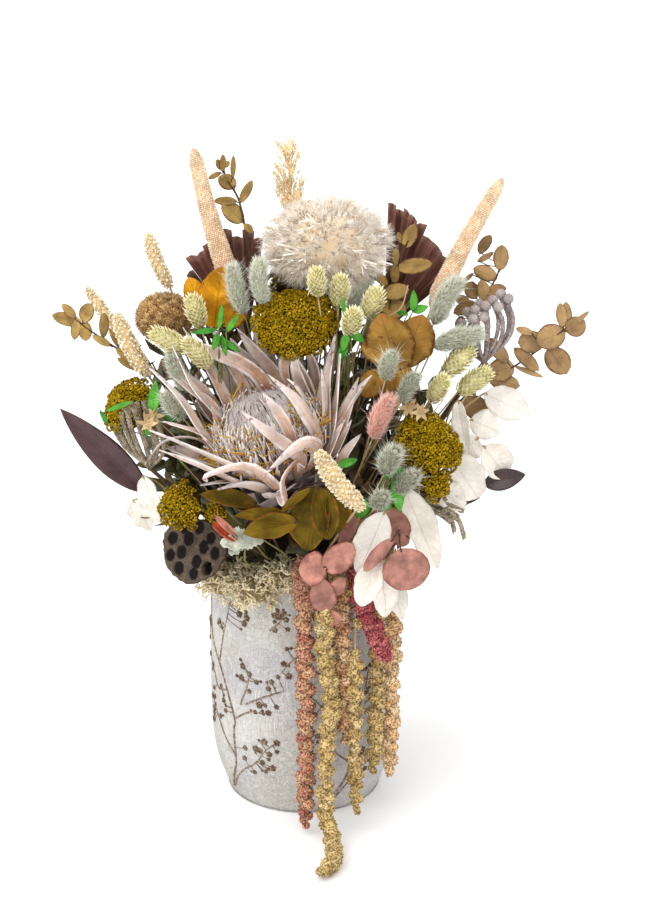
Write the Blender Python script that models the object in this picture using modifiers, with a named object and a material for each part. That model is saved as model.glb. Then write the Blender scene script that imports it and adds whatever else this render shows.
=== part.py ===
"""Dried flower arrangement standing in floral foam in a ceramic vase.

Sizes and places are in millimetres here, and every mesh is scaled to metres as it is made.
The vase stands on z = 0 with its axis on Z, and the arrangement's front looks along -Y.
"""

import collections
import math
import random

import bmesh
import bpy
from mathutils import Matrix, Vector
from mathutils.bvhtree import BVHTree

MM = 0.001
GAP = 0.3

# Vase and foam
VASE_HEIGHT = 235.0
VASE_RADIUS = 86.5
RIM_RADIUS = 84.5
FOOT_RADIUS = 71.0
WALL = 6.0
FLOOR_THICKNESS = 8.0
FOAM_RADIUS = RIM_RADIUS - WALL - GAP
FOAM_SHOULDER = VASE_HEIGHT + 6.0
FOAM_TOP = VASE_HEIGHT + 26.0
STEM_DEPTH = 20.0

# Clearances
SLEEVE_GAP = 0.6
LEAF_CLEARANCE = 0.55
ROOT_DEPTH = 3.5

# Looks: base colour and roughness
LOOKS = {
    "ceramic": ((0.62, 0.62, 0.60), 0.8),
    "foam": ((0.16, 0.13, 0.09), 0.95),
    "moss": ((0.55, 0.46, 0.30), 0.95),
    "protea_bract": ((0.50, 0.37, 0.35), 0.75),
    "protea_floret": ((0.66, 0.61, 0.58), 0.85),
    "protea_stem": ((0.12, 0.09, 0.07), 0.85),
    "puff": ((0.82, 0.72, 0.58), 0.95),
    "millet": ((0.68, 0.50, 0.35), 0.85),
    "setaria": ((0.70, 0.58, 0.36), 0.85),
    "plume": ((0.75, 0.52, 0.28), 0.9),
    "palm": ((0.09, 0.03, 0.03), 0.7),
    "eucalyptus": ((0.22, 0.13, 0.06), 0.7),
    "cluster": ((0.26, 0.15, 0.06), 0.9),
    "phalaris": ((0.45, 0.43, 0.22), 0.85),
    "lagurus": ((0.30, 0.33, 0.27), 0.95),
    "pink_lagurus": ((0.60, 0.26, 0.20), 0.95),
    "yarrow": ((0.22, 0.16, 0.01), 0.95),
    "amber_leaf": ((0.38, 0.18, 0.03), 0.5),
    "dark_leaf": ((0.03, 0.012, 0.015), 0.45),
    "brunia": ((0.30, 0.26, 0.25), 0.9),
    "white_leaf": ((0.85, 0.80, 0.72), 0.7),
    "pink_leaf": ((0.35, 0.15, 0.12), 0.7),
    "olive_leaf": ((0.14, 0.11, 0.02), 0.6),
    "lotus": ((0.08, 0.06, 0.05), 0.8),
    "peach_tail": ((0.50, 0.22, 0.12), 0.9),
    "gold_tail": ((0.45, 0.28, 0.07), 0.9),
    "magenta_tail": ((0.35, 0.06, 0.08), 0.9),
    "green_leaf": ((0.05, 0.25, 0.04), 0.5),
}

SLANT = Vector((0.31, 0.55, 0.78)).normalized()
PIECES = {}
BLOCKERS = []
# Small shifts to try for a leaf, the least first
SHIFTS = sorted(
    (Vector((x, y, z)) * 7.0 for x in range(-3, 4) for y in range(-3, 4) for z in range(-2, 3)),
    key=lambda shift: shift.length,
)


class Piece:
    """One node of the arrangement: closed shapes that are fused into one body."""

    def __init__(self, name, look):
        self.name = name
        self.look = look
        self.shapes = []
        self.solids = []
        self.sleeves = []
        PIECES[name] = self

    def add(self, bm, stalk=False):
        bm.normal_update()
        self.shapes.append(bm)
        self.solids.append((BVHTree.FromBMesh(bm), *reach(bm), stalk))


def reach(bm):
    """The lowest and highest corners of a mesh."""
    spots = [vert.co for vert in bm.verts]
    low = Vector([min(spot[axis] for spot in spots) for axis in range(3)])
    high = Vector([max(spot[axis] for spot in spots) for axis in range(3)])
    return low, high


def inside(spot, tree):
    """Whether a point lies in a closed mesh, from how many faces a slanted line out of it crosses."""
    crossed = 0
    start = spot
    while True:
        place, _, _, _ = tree.ray_cast(start, SLANT)
        if place is None:
            return crossed % 2 == 1
        crossed += 1
        start = place + SLANT * 0.001


def blocked(bm, owner, past=("floral_foam",), past_stalks=False):
    """The name of a piece that a shape comes too near to; it may run past the pieces named."""
    bm.normal_update()
    grown = bm.copy()
    for vert in grown.verts:
        vert.co += vert.normal * LEAF_CLEARANCE
    tree = BVHTree.FromBMesh(grown)
    low, high = reach(grown)
    probe = next(iter(bm.verts)).co.copy()
    grown.free()
    for piece in PIECES.values():
        if piece is owner or piece.name in past:
            continue
        for other, floor, roof, stalk in piece.solids:
            if stalk and past_stalks:
                continue
            if any(low[axis] > roof[axis] or high[axis] < floor[axis] for axis in range(3)):
                continue
            if tree.overlap(other):
                return piece.name
            if inside(probe, other):
                return piece.name
    return None


# Paths: each is a function from 0..1 to a point


def through(*points):
    """A smooth path through points, spaced by their distances."""
    spots = [Vector(point) for point in points]
    lengths = [(b - a).length for a, b in zip(spots, spots[1:])]
    total = sum(lengths)

    def slope(index):
        before = max(index - 1, 0)
        after = min(index + 1, len(spots) - 1)
        return (spots[after] - spots[before]) / sum(lengths[before:after])

    def path(t):
        left = min(max(t, 0.0), 1.0) * total
        index = 0
        while index < len(lengths) - 1 and left > lengths[index]:
            left -= lengths[index]
            index += 1
        span = lengths[index]
        u = min(left / span, 1.0)
        start = spots[index] * (2 * u**3 - 3 * u**2 + 1) + spots[index + 1] * (3 * u**2 - 2 * u**3)
        leave = slope(index) * span * (u**3 - 2 * u**2 + u)
        arrive = slope(index + 1) * span * (u**3 - u**2)
        return start + leave + arrive

    return path


def chords(path, stations):
    """The straight pieces that a blunt sweep with this many stations makes of a path."""
    steps = stations - 1
    spots = [path(step / steps) for step in range(stations)]

    def straight(t):
        place = min(max(t, 0.0), 0.999) * steps
        index = int(place)
        return spots[index].lerp(spots[index + 1], place - index)

    return straight


def arched(start, end, rise=(0, 0, 0)):
    """A path from start to end that bows out by rise at its middle."""
    start, end, rise = Vector(start), Vector(end), Vector(rise)
    return lambda t: start.lerp(end, t) + rise * (4 * t * (1 - t))


# Shapes: each is a closed mesh that starts as a sphere


def sweep(path, sides, stations, wide, deep=None, up=None, blunt=False):
    """A sphere drawn out along a path; wide and deep are half widths at (t, station, corner).

    Its ends are points, or flat caps where it is blunt.
    """
    bm = bmesh.new()
    bmesh.ops.create_uvsphere(bm, u_segments=sides, v_segments=stations + 1, radius=1.0)
    deep = deep or wide
    if up is None:
        chord = path(1.0) - path(0.0)
        upright = chord.xy.length < 0.05 * chord.length
        up = Vector((1, 0, 0)) if upright else Vector((-chord.y, chord.x, 0.0))
    for vert in bm.verts:
        height = max(-1.0, min(1.0, vert.co.z))
        station = round(math.acos(height) / math.pi * (stations + 1))
        t = station / (stations + 1)
        if blunt:
            t = min(max((station - 1) / (stations - 1), 0.0), 1.0)
        turn = math.atan2(vert.co.y, vert.co.x)
        vert.co = path(t)
        if station in (0, stations + 1):
            continue
        corner = round((turn + math.pi / 2) * sides / math.tau) % sides
        ahead = (path(min(t + 0.02, 1.0)) - path(max(t - 0.02, 0.0))).normalized()
        side = ahead.cross(up).normalized()
        lift = side.cross(ahead)
        vert.co += side * (math.cos(turn) * wide(t, station, corner))
        vert.co += lift * (math.sin(turn) * deep(t, station, corner))
    return bm


def even(radius):
    return lambda *place: radius


def knobbly(radius, profile, relief):
    """Half width that follows a profile, with every other corner standing out."""

    def width(t, station, corner):
        out = 1 + relief if (station + corner) % 2 else 1 - relief
        return radius * profile(t) * out

    return width


def egg(t):
    return math.sin(math.pi * t) ** 0.7


def club(t):
    return min(1.0, 4.5 * t, 5.0 * (1 - t)) ** 0.6


def spike(t):
    return min(1.0, 7 * t) ** 0.5 * (1 - 0.42 * t) * min(1.0, 9 * (1 - t)) ** 0.5


def blade(base, tip, width, facing, bow=0.0, stations=2, thick=1.3, fullness=0.8, wave=0.0):
    """A leaf or bract: a thin lens from base to tip whose broad face looks along facing."""
    facing = Vector(facing).normalized()
    length = (Vector(tip) - Vector(base)).length
    path = arched(base, tip, facing * (bow * length))

    def wide(t, station, corner):
        ripple = 1 + (wave if (station + corner // 2) % 2 else -wave)
        return width / 2 * math.sin(math.pi * t) ** fullness * ripple

    def deep(t, station, corner):
        return thick / 2

    return sweep(path, 4, stations, wide, deep, up=facing)


def head(centre, axis, length, width, sides=5, stations=3, profile=egg, relief=0.16):
    """A flower or seed head: a knobbly solid centred on a point."""
    half = Vector(axis).normalized() * (length / 2)
    path = arched(Vector(centre) - half, Vector(centre) + half)
    return sweep(path, sides, stations, knobbly(width / 2, profile, relief))


def turned_towards(axis):
    return Vector((0, 0, 1)).rotation_difference(Vector(axis)).to_matrix().to_4x4()


def dome(centre, axis, radius, height, sides=9, rings=5, floret=2.6):
    """A flat-topped bloom whose faces each carry a small pointed floret."""
    bm = bmesh.new()
    bmesh.ops.create_uvsphere(bm, u_segments=sides, v_segments=rings, radius=1.0)
    under = 0.45
    for vert in bm.verts:
        rise = height if vert.co.z > 0 else height * under
        vert.co = Vector((vert.co.x * radius, vert.co.y * radius, vert.co.z * rise))
    top = [face for face in bm.faces if face.normal.z > -0.2 or face.calc_center_median().z > 0]
    bmesh.ops.poke(bm, faces=top, offset=floret, center_mode="MEAN_WEIGHTED")
    bm.transform(Matrix.Translation(Vector(centre)) @ turned_towards(axis))
    return bm


# Stems and the foam that they stand in

HUB = Vector((0.0, 0.0, 120.0))


def foam_height(radius):
    """Height of the foam's top at a distance from the axis."""
    return FOAM_TOP - (FOAM_TOP - FOAM_SHOULDER) * radius / FOAM_RADIUS


def foam_entry(point):
    """Where a stem that goes to a point enters the foam: near the axis for upright stems."""
    point = Vector(point)
    flat = Vector((point.x, point.y, 0.0))
    lean = math.atan2(flat.length, point.z - 225.0)
    radius = (FOAM_RADIUS - 5.0) * min(1.0, lean / math.radians(72)) ** 0.8
    entry = flat.normalized() * radius
    entry.z = foam_height(radius)
    return entry


def ways(start, end, widest=40):
    """Middle points between two places: the straight way first, then wider and wider bows."""
    ahead = (end - start).normalized()
    across = ahead.cross((0.0, 0.0, 1.0)).normalized()
    over = across.cross(ahead)
    for share in (0.5, 0.3, 0.7):
        middle = start.lerp(end, share)
        yield middle
        for bend in range(5, widest, 7):
            for turn in range(8):
                angle = math.tau * turn / 8
                yield middle + across * (math.cos(angle) * bend) + over * (math.sin(angle) * bend)


def entries(base):
    """Places to enter the foam on the way to base, the nearest first."""
    first = foam_entry(base)
    for share in (1.0, 0.88, 0.76, 0.64, 0.52):
        for turn in (0, 6, -6, 12, -12, 20, -20):
            entry = Matrix.Rotation(math.radians(turn), 3, "Z") @ first
            radius = math.hypot(entry.x, entry.y) * share
            entry = Vector((entry.x * share, entry.y * share, foam_height(radius)))
            yield entry


class Run:
    """A stem or branch along a path, and the wider sleeve that clears its way through foam and moss."""

    def __init__(self, spots, radius, sides, stations):
        self.spots = spots
        path = through(*spots)
        self.path = chords(path, stations)
        self.shape = sweep(path, sides, stations, even(radius), blunt=True)
        start, after = spots[0], spots[1]
        below = start + (start - after).normalized()
        wide = radius + SLEEVE_GAP * (1 if sides == 4 else 2)
        clear = through(below, *spots[1:])
        self.sleeve_of = lambda: sweep(clear, sides, stations, even(wide), blunt=True)
        # A place inside the run, a little short of its end, where other shapes root
        self.joint = spots[-1] + (spots[-2] - spots[-1]).normalized() * ROOT_DEPTH

    def add_to(self, piece):
        piece.add(self.shape, stalk=True)
        piece.sleeves.append(self.sleeve_of())
        return self


def clear_stem(piece, base, radius):
    """A stem from inside the foam to base, bowed aside where something stands in its way, or None."""
    sides = 4 if radius > 2.0 else 3
    for entry in entries(base):
        inner = entry + (HUB - entry).normalized() * STEM_DEPTH
        for middle in ways(entry, base):
            run = Run((inner, entry, middle, base), radius, sides, 4)
            blocker = blocked(run.shape, piece)
            if not blocker:
                return run
            BLOCKERS.append(blocker)
    return None


def clear_branch(piece, start, end, radius):
    """A thin run between two places of one piece, bowed aside like a stem, or None."""
    for middle in ways(start, end):
        run = Run((start, middle, end), radius, 3, 3)
        blocker = blocked(run.shape, piece)
        if not blocker:
            return run
        BLOCKERS.append(blocker)
    return None


def report(piece, what):
    print(piece.name, what, "is blocked by", collections.Counter(BLOCKERS).most_common(3))
    BLOCKERS.clear()


def stem(piece, base, radius):
    """Add a clear stem and return the joint near its end."""
    BLOCKERS.clear()
    run = clear_stem(piece, Vector(base), radius)
    if run is None:
        report(piece, "stem")
        entry = foam_entry(base)
        inner = entry + (HUB - entry).normalized() * STEM_DEPTH
        run = Run((inner, entry, entry.lerp(base, 0.5), Vector(base)), radius, 3, 4)
    return run.add_to(piece).joint


def fork_and_branches(piece, middle, feet, radius=1.5, thin=1.0):
    """One stem that forks below the heads, at the first height where every branch is clear."""
    BLOCKERS.clear()
    entry = foam_entry(middle)
    for share in (0.5, 0.35, 0.62, 0.2, 0.75, 0.1):
        trunk = clear_stem(piece, entry.lerp(middle, share), radius)
        if trunk is None:
            continue
        branches = []
        for foot in feet:
            branch = clear_branch(piece, trunk.joint, foot, thin)
            if branch is None:
                break
            branches.append(branch)
        if len(branches) == len(feet):
            for run in (trunk, *branches):
                run.add_to(piece)
            return branches
    report(piece, "fork")
    return []


def fit(make, piece):
    """The first shape that make gives for a small shift and that is clear of the other pieces."""
    for shift in SHIFTS:
        shape = make(shift)
        blocker = blocked(shape, piece, past=())
        if not blocker:
            return shape
        BLOCKERS.append(blocker)
        shape.free()
    return None


def leafy(piece, points, radius, pairs, leaf, width, seed, start=0.3, facing=(0, -0.5, 0.6), lean=0.5):
    """Opposite leaves in turned pairs along a stem through points, left out where they would cross."""
    draw = random.Random(seed)
    stations = len(points) + 1
    path = chords(through(*points), stations)
    piece.add(sweep(path, 3, stations, even(radius), blunt=True))
    for pair in range(pairs):
        t = start + (1 - start) * pair / max(pairs - 1, 1)
        spot = path(min(t, 0.985))
        ahead = (path(min(t + 0.03, 1.0)) - path(t - 0.03)).normalized()
        level = ahead.cross(Vector(facing)).normalized()
        if pair % 2:
            level = (level * 0.55 + ahead.cross(level) * 0.84).normalized()
        size = 1.0 - 0.45 * t * t
        for hand in (1, -1):
            out = (level * hand + ahead * (lean + draw.uniform(-0.25, 0.25))).normalized()
            normal = (Vector(facing) + level * draw.uniform(-0.4, 0.4)).normalized()

            def make(shift, out=out, normal=normal, spot=spot, size=size):
                tip = spot + (out * leaf * size + shift * 0.6).normalized() * leaf * size
                return blade(spot, tip, width * size, normal, bow=0.06)

            shape = fit(make, piece)
            if shape:
                piece.add(shape)


# Making the objects


def collection(name):
    group = bpy.data.collections.new(name)
    bpy.context.scene.collection.children.link(group)
    return group


def material(name):
    if name in bpy.data.materials:
        return bpy.data.materials[name]
    colour, roughness = LOOKS[name]
    look = bpy.data.materials.new(name)
    look.use_nodes = True
    shader = look.node_tree.nodes["Principled BSDF"]
    shader.inputs["Base Color"].default_value = (*colour, 1.0)
    shader.inputs["Roughness"].default_value = roughness
    shader.inputs["Metallic"].default_value = 0.0
    return look


def to_object(bm, name, group):
    """A mesh object in metres from a shape in millimetres."""
    bm.transform(Matrix.Scale(MM, 4))
    mesh = bpy.data.meshes.new(name)
    bm.to_mesh(mesh)
    bm.free()
    obj = bpy.data.objects.new(name, mesh)
    group.objects.link(obj)
    return obj


def settle(obj):
    """Put the evaluated mesh in place of an object's modifiers."""
    graph = bpy.context.evaluated_depsgraph_get()
    mesh = bpy.data.meshes.new_from_object(obj.evaluated_get(graph))
    obj.modifiers.clear()
    obj.data = mesh
    mesh.name = obj.name


def combine(obj, shapes, operation):
    """One Boolean of an object with a collection of shapes, applied, and the shapes removed."""
    group = collection("helpers")
    for number, shape in enumerate(shapes):
        to_object(shape, f"helper_{number}", group)
    modifier = obj.modifiers.new(operation.lower(), "BOOLEAN")
    modifier.operation = operation
    modifier.operand_type = "COLLECTION"
    modifier.collection = group
    modifier.solver = "MANIFOLD"
    settle(obj)
    for helper in list(group.objects):
        bpy.data.objects.remove(helper)
    bpy.data.collections.remove(group)


def keep_body(obj):
    """Keep the largest closed body: sealed hollows are filled and loose scraps dropped."""
    bm = bmesh.new()
    bm.from_mesh(obj.data)
    bmesh.ops.triangulate(bm, faces=bm.faces[:])
    left = set(bm.faces)
    bodies = []
    while left:
        body = []
        queue = [left.pop()]
        while queue:
            face = queue.pop()
            body.append(face)
            for edge in face.edges:
                for other in edge.link_faces:
                    if other in left:
                        left.remove(other)
                        queue.append(other)
        volume = sum(a.co.dot(b.co.cross(c.co)) for a, b, c in (face.verts for face in body))
        bodies.append((volume, body))
    bodies.sort(key=lambda item: -item[0])
    for volume, body in bodies[1:]:
        if volume > 1e-3 * bodies[0][0]:
            print(obj.name, "has a loose body of", round(volume / bodies[0][0], 3))
        bmesh.ops.delete(bm, geom=body, context="FACES")
    loose = [vert for vert in bm.verts if not vert.link_faces]
    bmesh.ops.delete(bm, geom=loose, context="VERTS")
    bm.to_mesh(obj.data)
    bm.free()


def finish(piece, group):
    """Fuse a piece's shapes into one named object."""
    first, *others = piece.shapes
    obj = to_object(first, piece.name, group)
    if others:
        combine(obj, others, "UNION")
    keep_body(obj)
    obj.data.materials.clear()
    obj.data.materials.append(material(piece.look))
    return obj


def lathe(name, profile, steps, group):
    """A turned solid from (radius, height) points that run from the top axis point to the bottom one."""
    mesh = bpy.data.meshes.new(name)
    bm = bmesh.new()
    verts = [bm.verts.new((radius * MM, 0.0, height * MM)) for radius, height in profile]
    for a, b in zip(verts, verts[1:]):
        bm.edges.new((a, b))
    bm.to_mesh(mesh)
    bm.free()
    obj = bpy.data.objects.new(name, mesh)
    group.objects.link(obj)
    screw = obj.modifiers.new("turn", "SCREW")
    screw.steps = steps
    screw.render_steps = steps
    screw.use_merge_vertices = True
    screw.merge_threshold = 0.00001
    settle(obj)
    return obj


def claim(name, look, obj):
    """Keep a turned object's outline so that other pieces stay clear of it."""
    piece = Piece(name, look)
    bm = bmesh.new()
    bm.from_mesh(obj.data)
    bm.transform(Matrix.Scale(1 / MM, 4))
    piece.solids.append((BVHTree.FromBMesh(bm), *reach(bm), False))
    bm.free()
    obj.data.materials.append(material(look))
    return piece


# Vase with raised berry branches

VASE_OUTSIDE = [
    (RIM_RADIUS - 2, VASE_HEIGHT),
    (RIM_RADIUS, VASE_HEIGHT - 3),
    (RIM_RADIUS, 215),
    (VASE_RADIUS, 130),
    (VASE_RADIUS, 70),
    (81, 30),
    (FOOT_RADIUS, 4),
    (FOOT_RADIUS - 5, 0),
]
VASE_STEPS = 24
FOAM_STEPS = VASE_STEPS // 2
VASE_INSIDE = [
    (0, FLOOR_THICKNESS),
    (66, FLOOR_THICKNESS),
    (RIM_RADIUS - WALL, 62),
    (RIM_RADIUS - WALL, VASE_HEIGHT - 3),
    (RIM_RADIUS - WALL + 2, VASE_HEIGHT),
]
SPRAY_COUNT = 4
SPRAY_RISE = (22.0, 205.0)
BERRY_RADIUS = 3.6
BERRY_DEPTH = 2.6
TWIGS = (
    # share of the height, hand, length along the wall, rise
    (0.14, 1, 28, 32),
    (0.36, -1, 25, 28),
    (0.62, 1, 30, 32),
)


def wall_radius(z):
    """Outer radius of the vase at a height."""
    for (high_radius, high), (low_radius, low) in zip(VASE_OUTSIDE, VASE_OUTSIDE[1:]):
        if low <= z <= high:
            return low_radius + (high_radius - low_radius) * (z - low) / (high - low)
    return FOOT_RADIUS


def on_wall(angle, z, lift=0.0):
    radius = wall_radius(z) + lift
    return Vector((math.cos(angle) * radius, math.sin(angle) * radius, z))


def relief_rib(spots, width, high):
    """A raised stem on the wall through (angle, z) spots."""
    path = through(*(on_wall(angle, z, -0.5) for angle, z in spots))
    outward = on_wall(spots[0][0], spots[0][1])
    outward.z = 0
    return sweep(path, 4, len(spots), even(width / 2), even(high + 0.5), up=outward)


def vase_relief():
    shapes = []
    low, high = SPRAY_RISE
    for number in range(SPRAY_COUNT):
        middle = math.radians(-118 + 360 / SPRAY_COUNT * number)
        stalk = []
        for step in range(5):
            share = step / 4
            stalk.append((middle + 0.10 * math.sin(share * 4.2), low + (high - low) * share))
        shapes.append(relief_rib(stalk, 3.0, 1.2))
        for share, hand, run, rise in TWIGS:
            z = low + (high - low) * share
            start = middle + 0.10 * math.sin(share * 4.2)
            reach_angle = hand * run / VASE_RADIUS
            end = (start + reach_angle, z + rise)
            bend = (start + reach_angle * 0.6, z + rise * 0.5)
            shapes.append(relief_rib([(start, z), bend, end], 2.4, 1.1))
            for berry in range(3):
                swing = (berry - 1) * 1.15
                angle = end[0] + math.sin(swing) * 7.5 / VASE_RADIUS
                height = end[1] + math.cos(swing) * 6.0
                spot = on_wall(angle, height, -0.6)
                outward = Vector((spot.x, spot.y, 0)).normalized()
                dot = arched(spot - outward * BERRY_DEPTH, spot + outward * BERRY_DEPTH)
                shapes.append(sweep(dot, 4, 1, even(BERRY_RADIUS)))
    return shapes


def make_vase(group):
    obj = lathe("vase", VASE_INSIDE + VASE_OUTSIDE + [(0, 0)], VASE_STEPS, group)
    claim("vase", "ceramic", obj)
    combine(obj, vase_relief(), "UNION")
    keep_body(obj)
    return obj


def foam_profile(grow):
    """Half outline of the foam's top from the axis, grown outwards."""
    return [(0.0, FOAM_TOP + grow), (FOAM_RADIUS + grow, FOAM_SHOULDER + grow)]


def make_foam(group):
    floor = FLOOR_THICKNESS + GAP
    profile = foam_profile(0.0) + [(FOAM_RADIUS, 64), (62, floor), (0.0, floor)]
    obj = lathe("floral_foam", profile, FOAM_STEPS, group)
    claim("floral_foam", "foam", obj)
    return obj


# King protea

PROTEA_SEAT = Vector((-15.0, -88.0, 345.0))
PROTEA_AXIS = Vector((-0.30, -0.24, 0.92)).normalized()
FLORET_BASE = 13.0
FLORET_TOP = 62.0
FLORET_RADIUS = 48.0
# Bracts on the crowded side stand up against their neighbours
CROWDED_SIDE = Vector((0.85, 0.5, 0.0)).normalized()
# whorl: count, start angle, free and crowded lean at (foot, tip) in degrees, length, width, stations
BRACT_WHORLS = (
    (11, 0.0, (66, 8), (62, -4), 118, 15, 2),
    (10, 0.3, (74, 20), (66, 4), 130, 18, 2),
    (10, 0.0, (76, 44), (72, 20), 122, 19, 2),
)


def around(axis):
    """Two directions at right angles to an axis."""
    first = axis.cross(Vector((0, 0, 1))).normalized()
    return first, axis.cross(first)


def curved_out(seat, axis, out, foot_lean, tip_lean, length):
    """A path that leaves a seat at one lean from the axis and ends at another."""
    spots = [Vector(seat)]
    steps = 6
    for step in range(steps):
        lean = math.radians(foot_lean + (tip_lean - foot_lean) * (step / (steps - 1)) ** 0.8)
        spots.append(spots[-1] + (axis * math.cos(lean) + out * math.sin(lean)) * (length / steps))
    return through(*spots)


def protea():
    seat, axis = PROTEA_SEAT, PROTEA_AXIS
    first, second = around(axis)
    draw = random.Random(3)
    bracts = Piece("protea_bracts", "protea_bract")
    core = arched(seat - axis * 10, seat + axis * (FLORET_BASE - GAP))
    bracts.add(sweep(core, 12, 3, lambda t, s, c: 27 * math.sin(math.pi * t) ** 0.5))
    for whorl, (count, start, free, crowded, length, width, stations) in enumerate(BRACT_WHORLS):
        for number in range(count):
            angle = math.tau * number / count + start + draw.uniform(-0.05, 0.05)
            out = first * math.cos(angle) + second * math.sin(angle)
            root = seat + out * (18 - 3.5 * whorl) + axis * (1.5 - 3.5 * whorl)
            crowd = max(0.0, out.dot(CROWDED_SIDE)) ** 0.6
            foot_lean = free[0] + (crowded[0] - free[0]) * crowd
            tip_lean = free[1] + (crowded[1] - free[1]) * crowd + draw.uniform(-4, 4)
            stretch = length * draw.uniform(0.94, 1.06) * (1 - 0.15 * crowd)
            path = curved_out(root, axis, out, foot_lean, tip_lean, stretch)

            def wide(t, station, corner, width=width):
                return width / 2 * (0.42 + 0.58 * math.sin(math.pi * min(1.0, t * 1.05)) ** 1.2)

            bracts.add(sweep(path, 4, stations, wide, even(0.9), up=axis - out * 0.6))
    florets = Piece("protea_florets", "protea_floret")
    bm = bmesh.new()
    bmesh.ops.create_uvsphere(bm, u_segments=13, v_segments=7, radius=1.0)
    low, high = FLORET_BASE, FLORET_TOP
    for vert in bm.verts:
        up = (1 + vert.co.z) / 2
        flare = 1.0 - 0.42 * (1 - up) ** 1.6
        wide = FLORET_RADIUS * flare
        vert.co = Vector((vert.co.x * wide, vert.co.y * wide, low + (high - low) * up))
    top = [face for face in bm.faces if face.calc_center_median().z > low + 20]
    bmesh.ops.poke(bm, faces=top, offset=5.0, center_mode="MEAN_WEIGHTED")
    bm.transform(Matrix.Translation(seat) @ turned_towards(axis))
    florets.add(bm)
    cups = Piece("protea_stem", "protea_stem")
    cups.add(sweep(arched(seat - axis * 38, seat - axis * 12), 6, 2, lambda t, s, c: 6 + 11 * t))
    for number in range(8):
        angle = math.tau * (number + 0.5) / 8
        out = first * math.cos(angle) + second * math.sin(angle)
        path = curved_out(seat - axis * 26 + out * 3, axis, out, 96, 78, 38)
        wide = lambda t, station, corner: 8.5 * math.sin(math.pi * t) ** 0.6
        cups.add(sweep(path, 4, 2, wide, even(0.8), up=axis))
    return cups, seat - axis * 34


# Round and spiked heads, each on a stem of its own


def puff():
    piece = Piece("feather_puff", "puff")
    bm = bmesh.new()
    bmesh.ops.create_uvsphere(bm, u_segments=12, v_segments=7, radius=1.0)
    for vert in bm.verts:
        squash = 0.80 if vert.co.z > 0 else 0.72
        vert.co = Vector((vert.co.x * 52, vert.co.y * 46, vert.co.z * 47 * squash))
    bmesh.ops.poke(bm, faces=bm.faces[:], offset=10.0, center_mode="MEAN_WEIGHTED")
    bm.transform(Matrix.Translation((21, -15, 524)))
    piece.add(bm)
    return piece, (18, -13, 500)


# Spikes: look, base, tip, width, sides, stations, profile, relief, stem radius
SPIKES = {
    "millet_left": ("millet", (-62, 0, 483), (-95, 25, 600), 20, 8, 10, spike, 0.06, 2.4),
    "millet_right": ("millet", (113, -10, 463), (175, 25, 573), 19, 8, 10, spike, 0.06, 2.4),
    "setaria_front": ("setaria", (48, -170, 342), (12, -196, 396), 18, 8, 6, club, 0.12, 1.5),
    "lagurus_pink": ("pink_lagurus", (60, -118, 382), (75, -132, 424), 18, 6, 5, egg, 0.14, 1.2),
}


def single(name, look, base, tip, width, sides, stations, profile, relief):
    """One head from base to tip, and where its stem joins it."""
    piece = Piece(name, look)
    base, tip = Vector(base), Vector(tip)
    piece.add(sweep(arched(base, tip), sides, stations, knobbly(width / 2, profile, relief)))
    return piece, base.lerp(tip, 0.06)


def plume():
    piece = Piece("straw_plume", "plume")
    base, tip = Vector((-9, 30, 540)), Vector((-14, 38, 598))
    piece.add(sweep(arched(base, tip), 6, 5, knobbly(8, egg, 0.3)))
    for number in range(5):
        t = 0.25 + 0.13 * number
        angle = 2.4 * number
        spot = base.lerp(tip, t)
        end = spot + Vector((math.cos(angle) * 10, math.sin(angle) * 6, 17))
        piece.add(sweep(arched(spot, end), 4, 2, even(2.0)))
    return piece, base.lerp(tip, 0.08)


# Flat mustard heads: centre, radius, height, axis
YARROW = {
    "yarrow_centre": ((-4, -63, 467), 34, 20, (-0.05, -0.55, 0.83)),
    "yarrow_left": ((-146, -66, 392), 24, 18, (-0.5, -0.5, 0.7)),
    "yarrow_right": ((106, -104, 371), 27, 18, (0.4, -0.75, 0.5)),
    "yarrow_low": ((-100, -118, 321), 18, 16, (-0.5, -0.8, 0.35)),
    "yarrow_back": ((6, 66, 462), 33, 19, (0.0, 0.6, 0.8)),
}


def yarrow(name, centre, radius, height, axis):
    piece = Piece(name, "yarrow")
    axis = Vector(axis).normalized()
    piece.add(dome(centre, axis, radius, height))
    return piece, Vector(centre) - axis * height * 0.35


def cluster():
    piece = Piece("brown_cluster", "cluster")
    centre = Vector((-119, -32, 462))
    bm = bmesh.new()
    bmesh.ops.create_icosphere(bm, subdivisions=2, radius=1.0)
    for vert in bm.verts:
        vert.co = Vector((vert.co.x * 24, vert.co.y * 22, vert.co.z * 20))
    bmesh.ops.poke(bm, faces=bm.faces[:], offset=7.0, center_mode="MEAN_WEIGHTED")
    bm.transform(Matrix.Translation(centre))
    piece.add(bm)
    return piece, centre + Vector((3, 2, -12))


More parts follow.
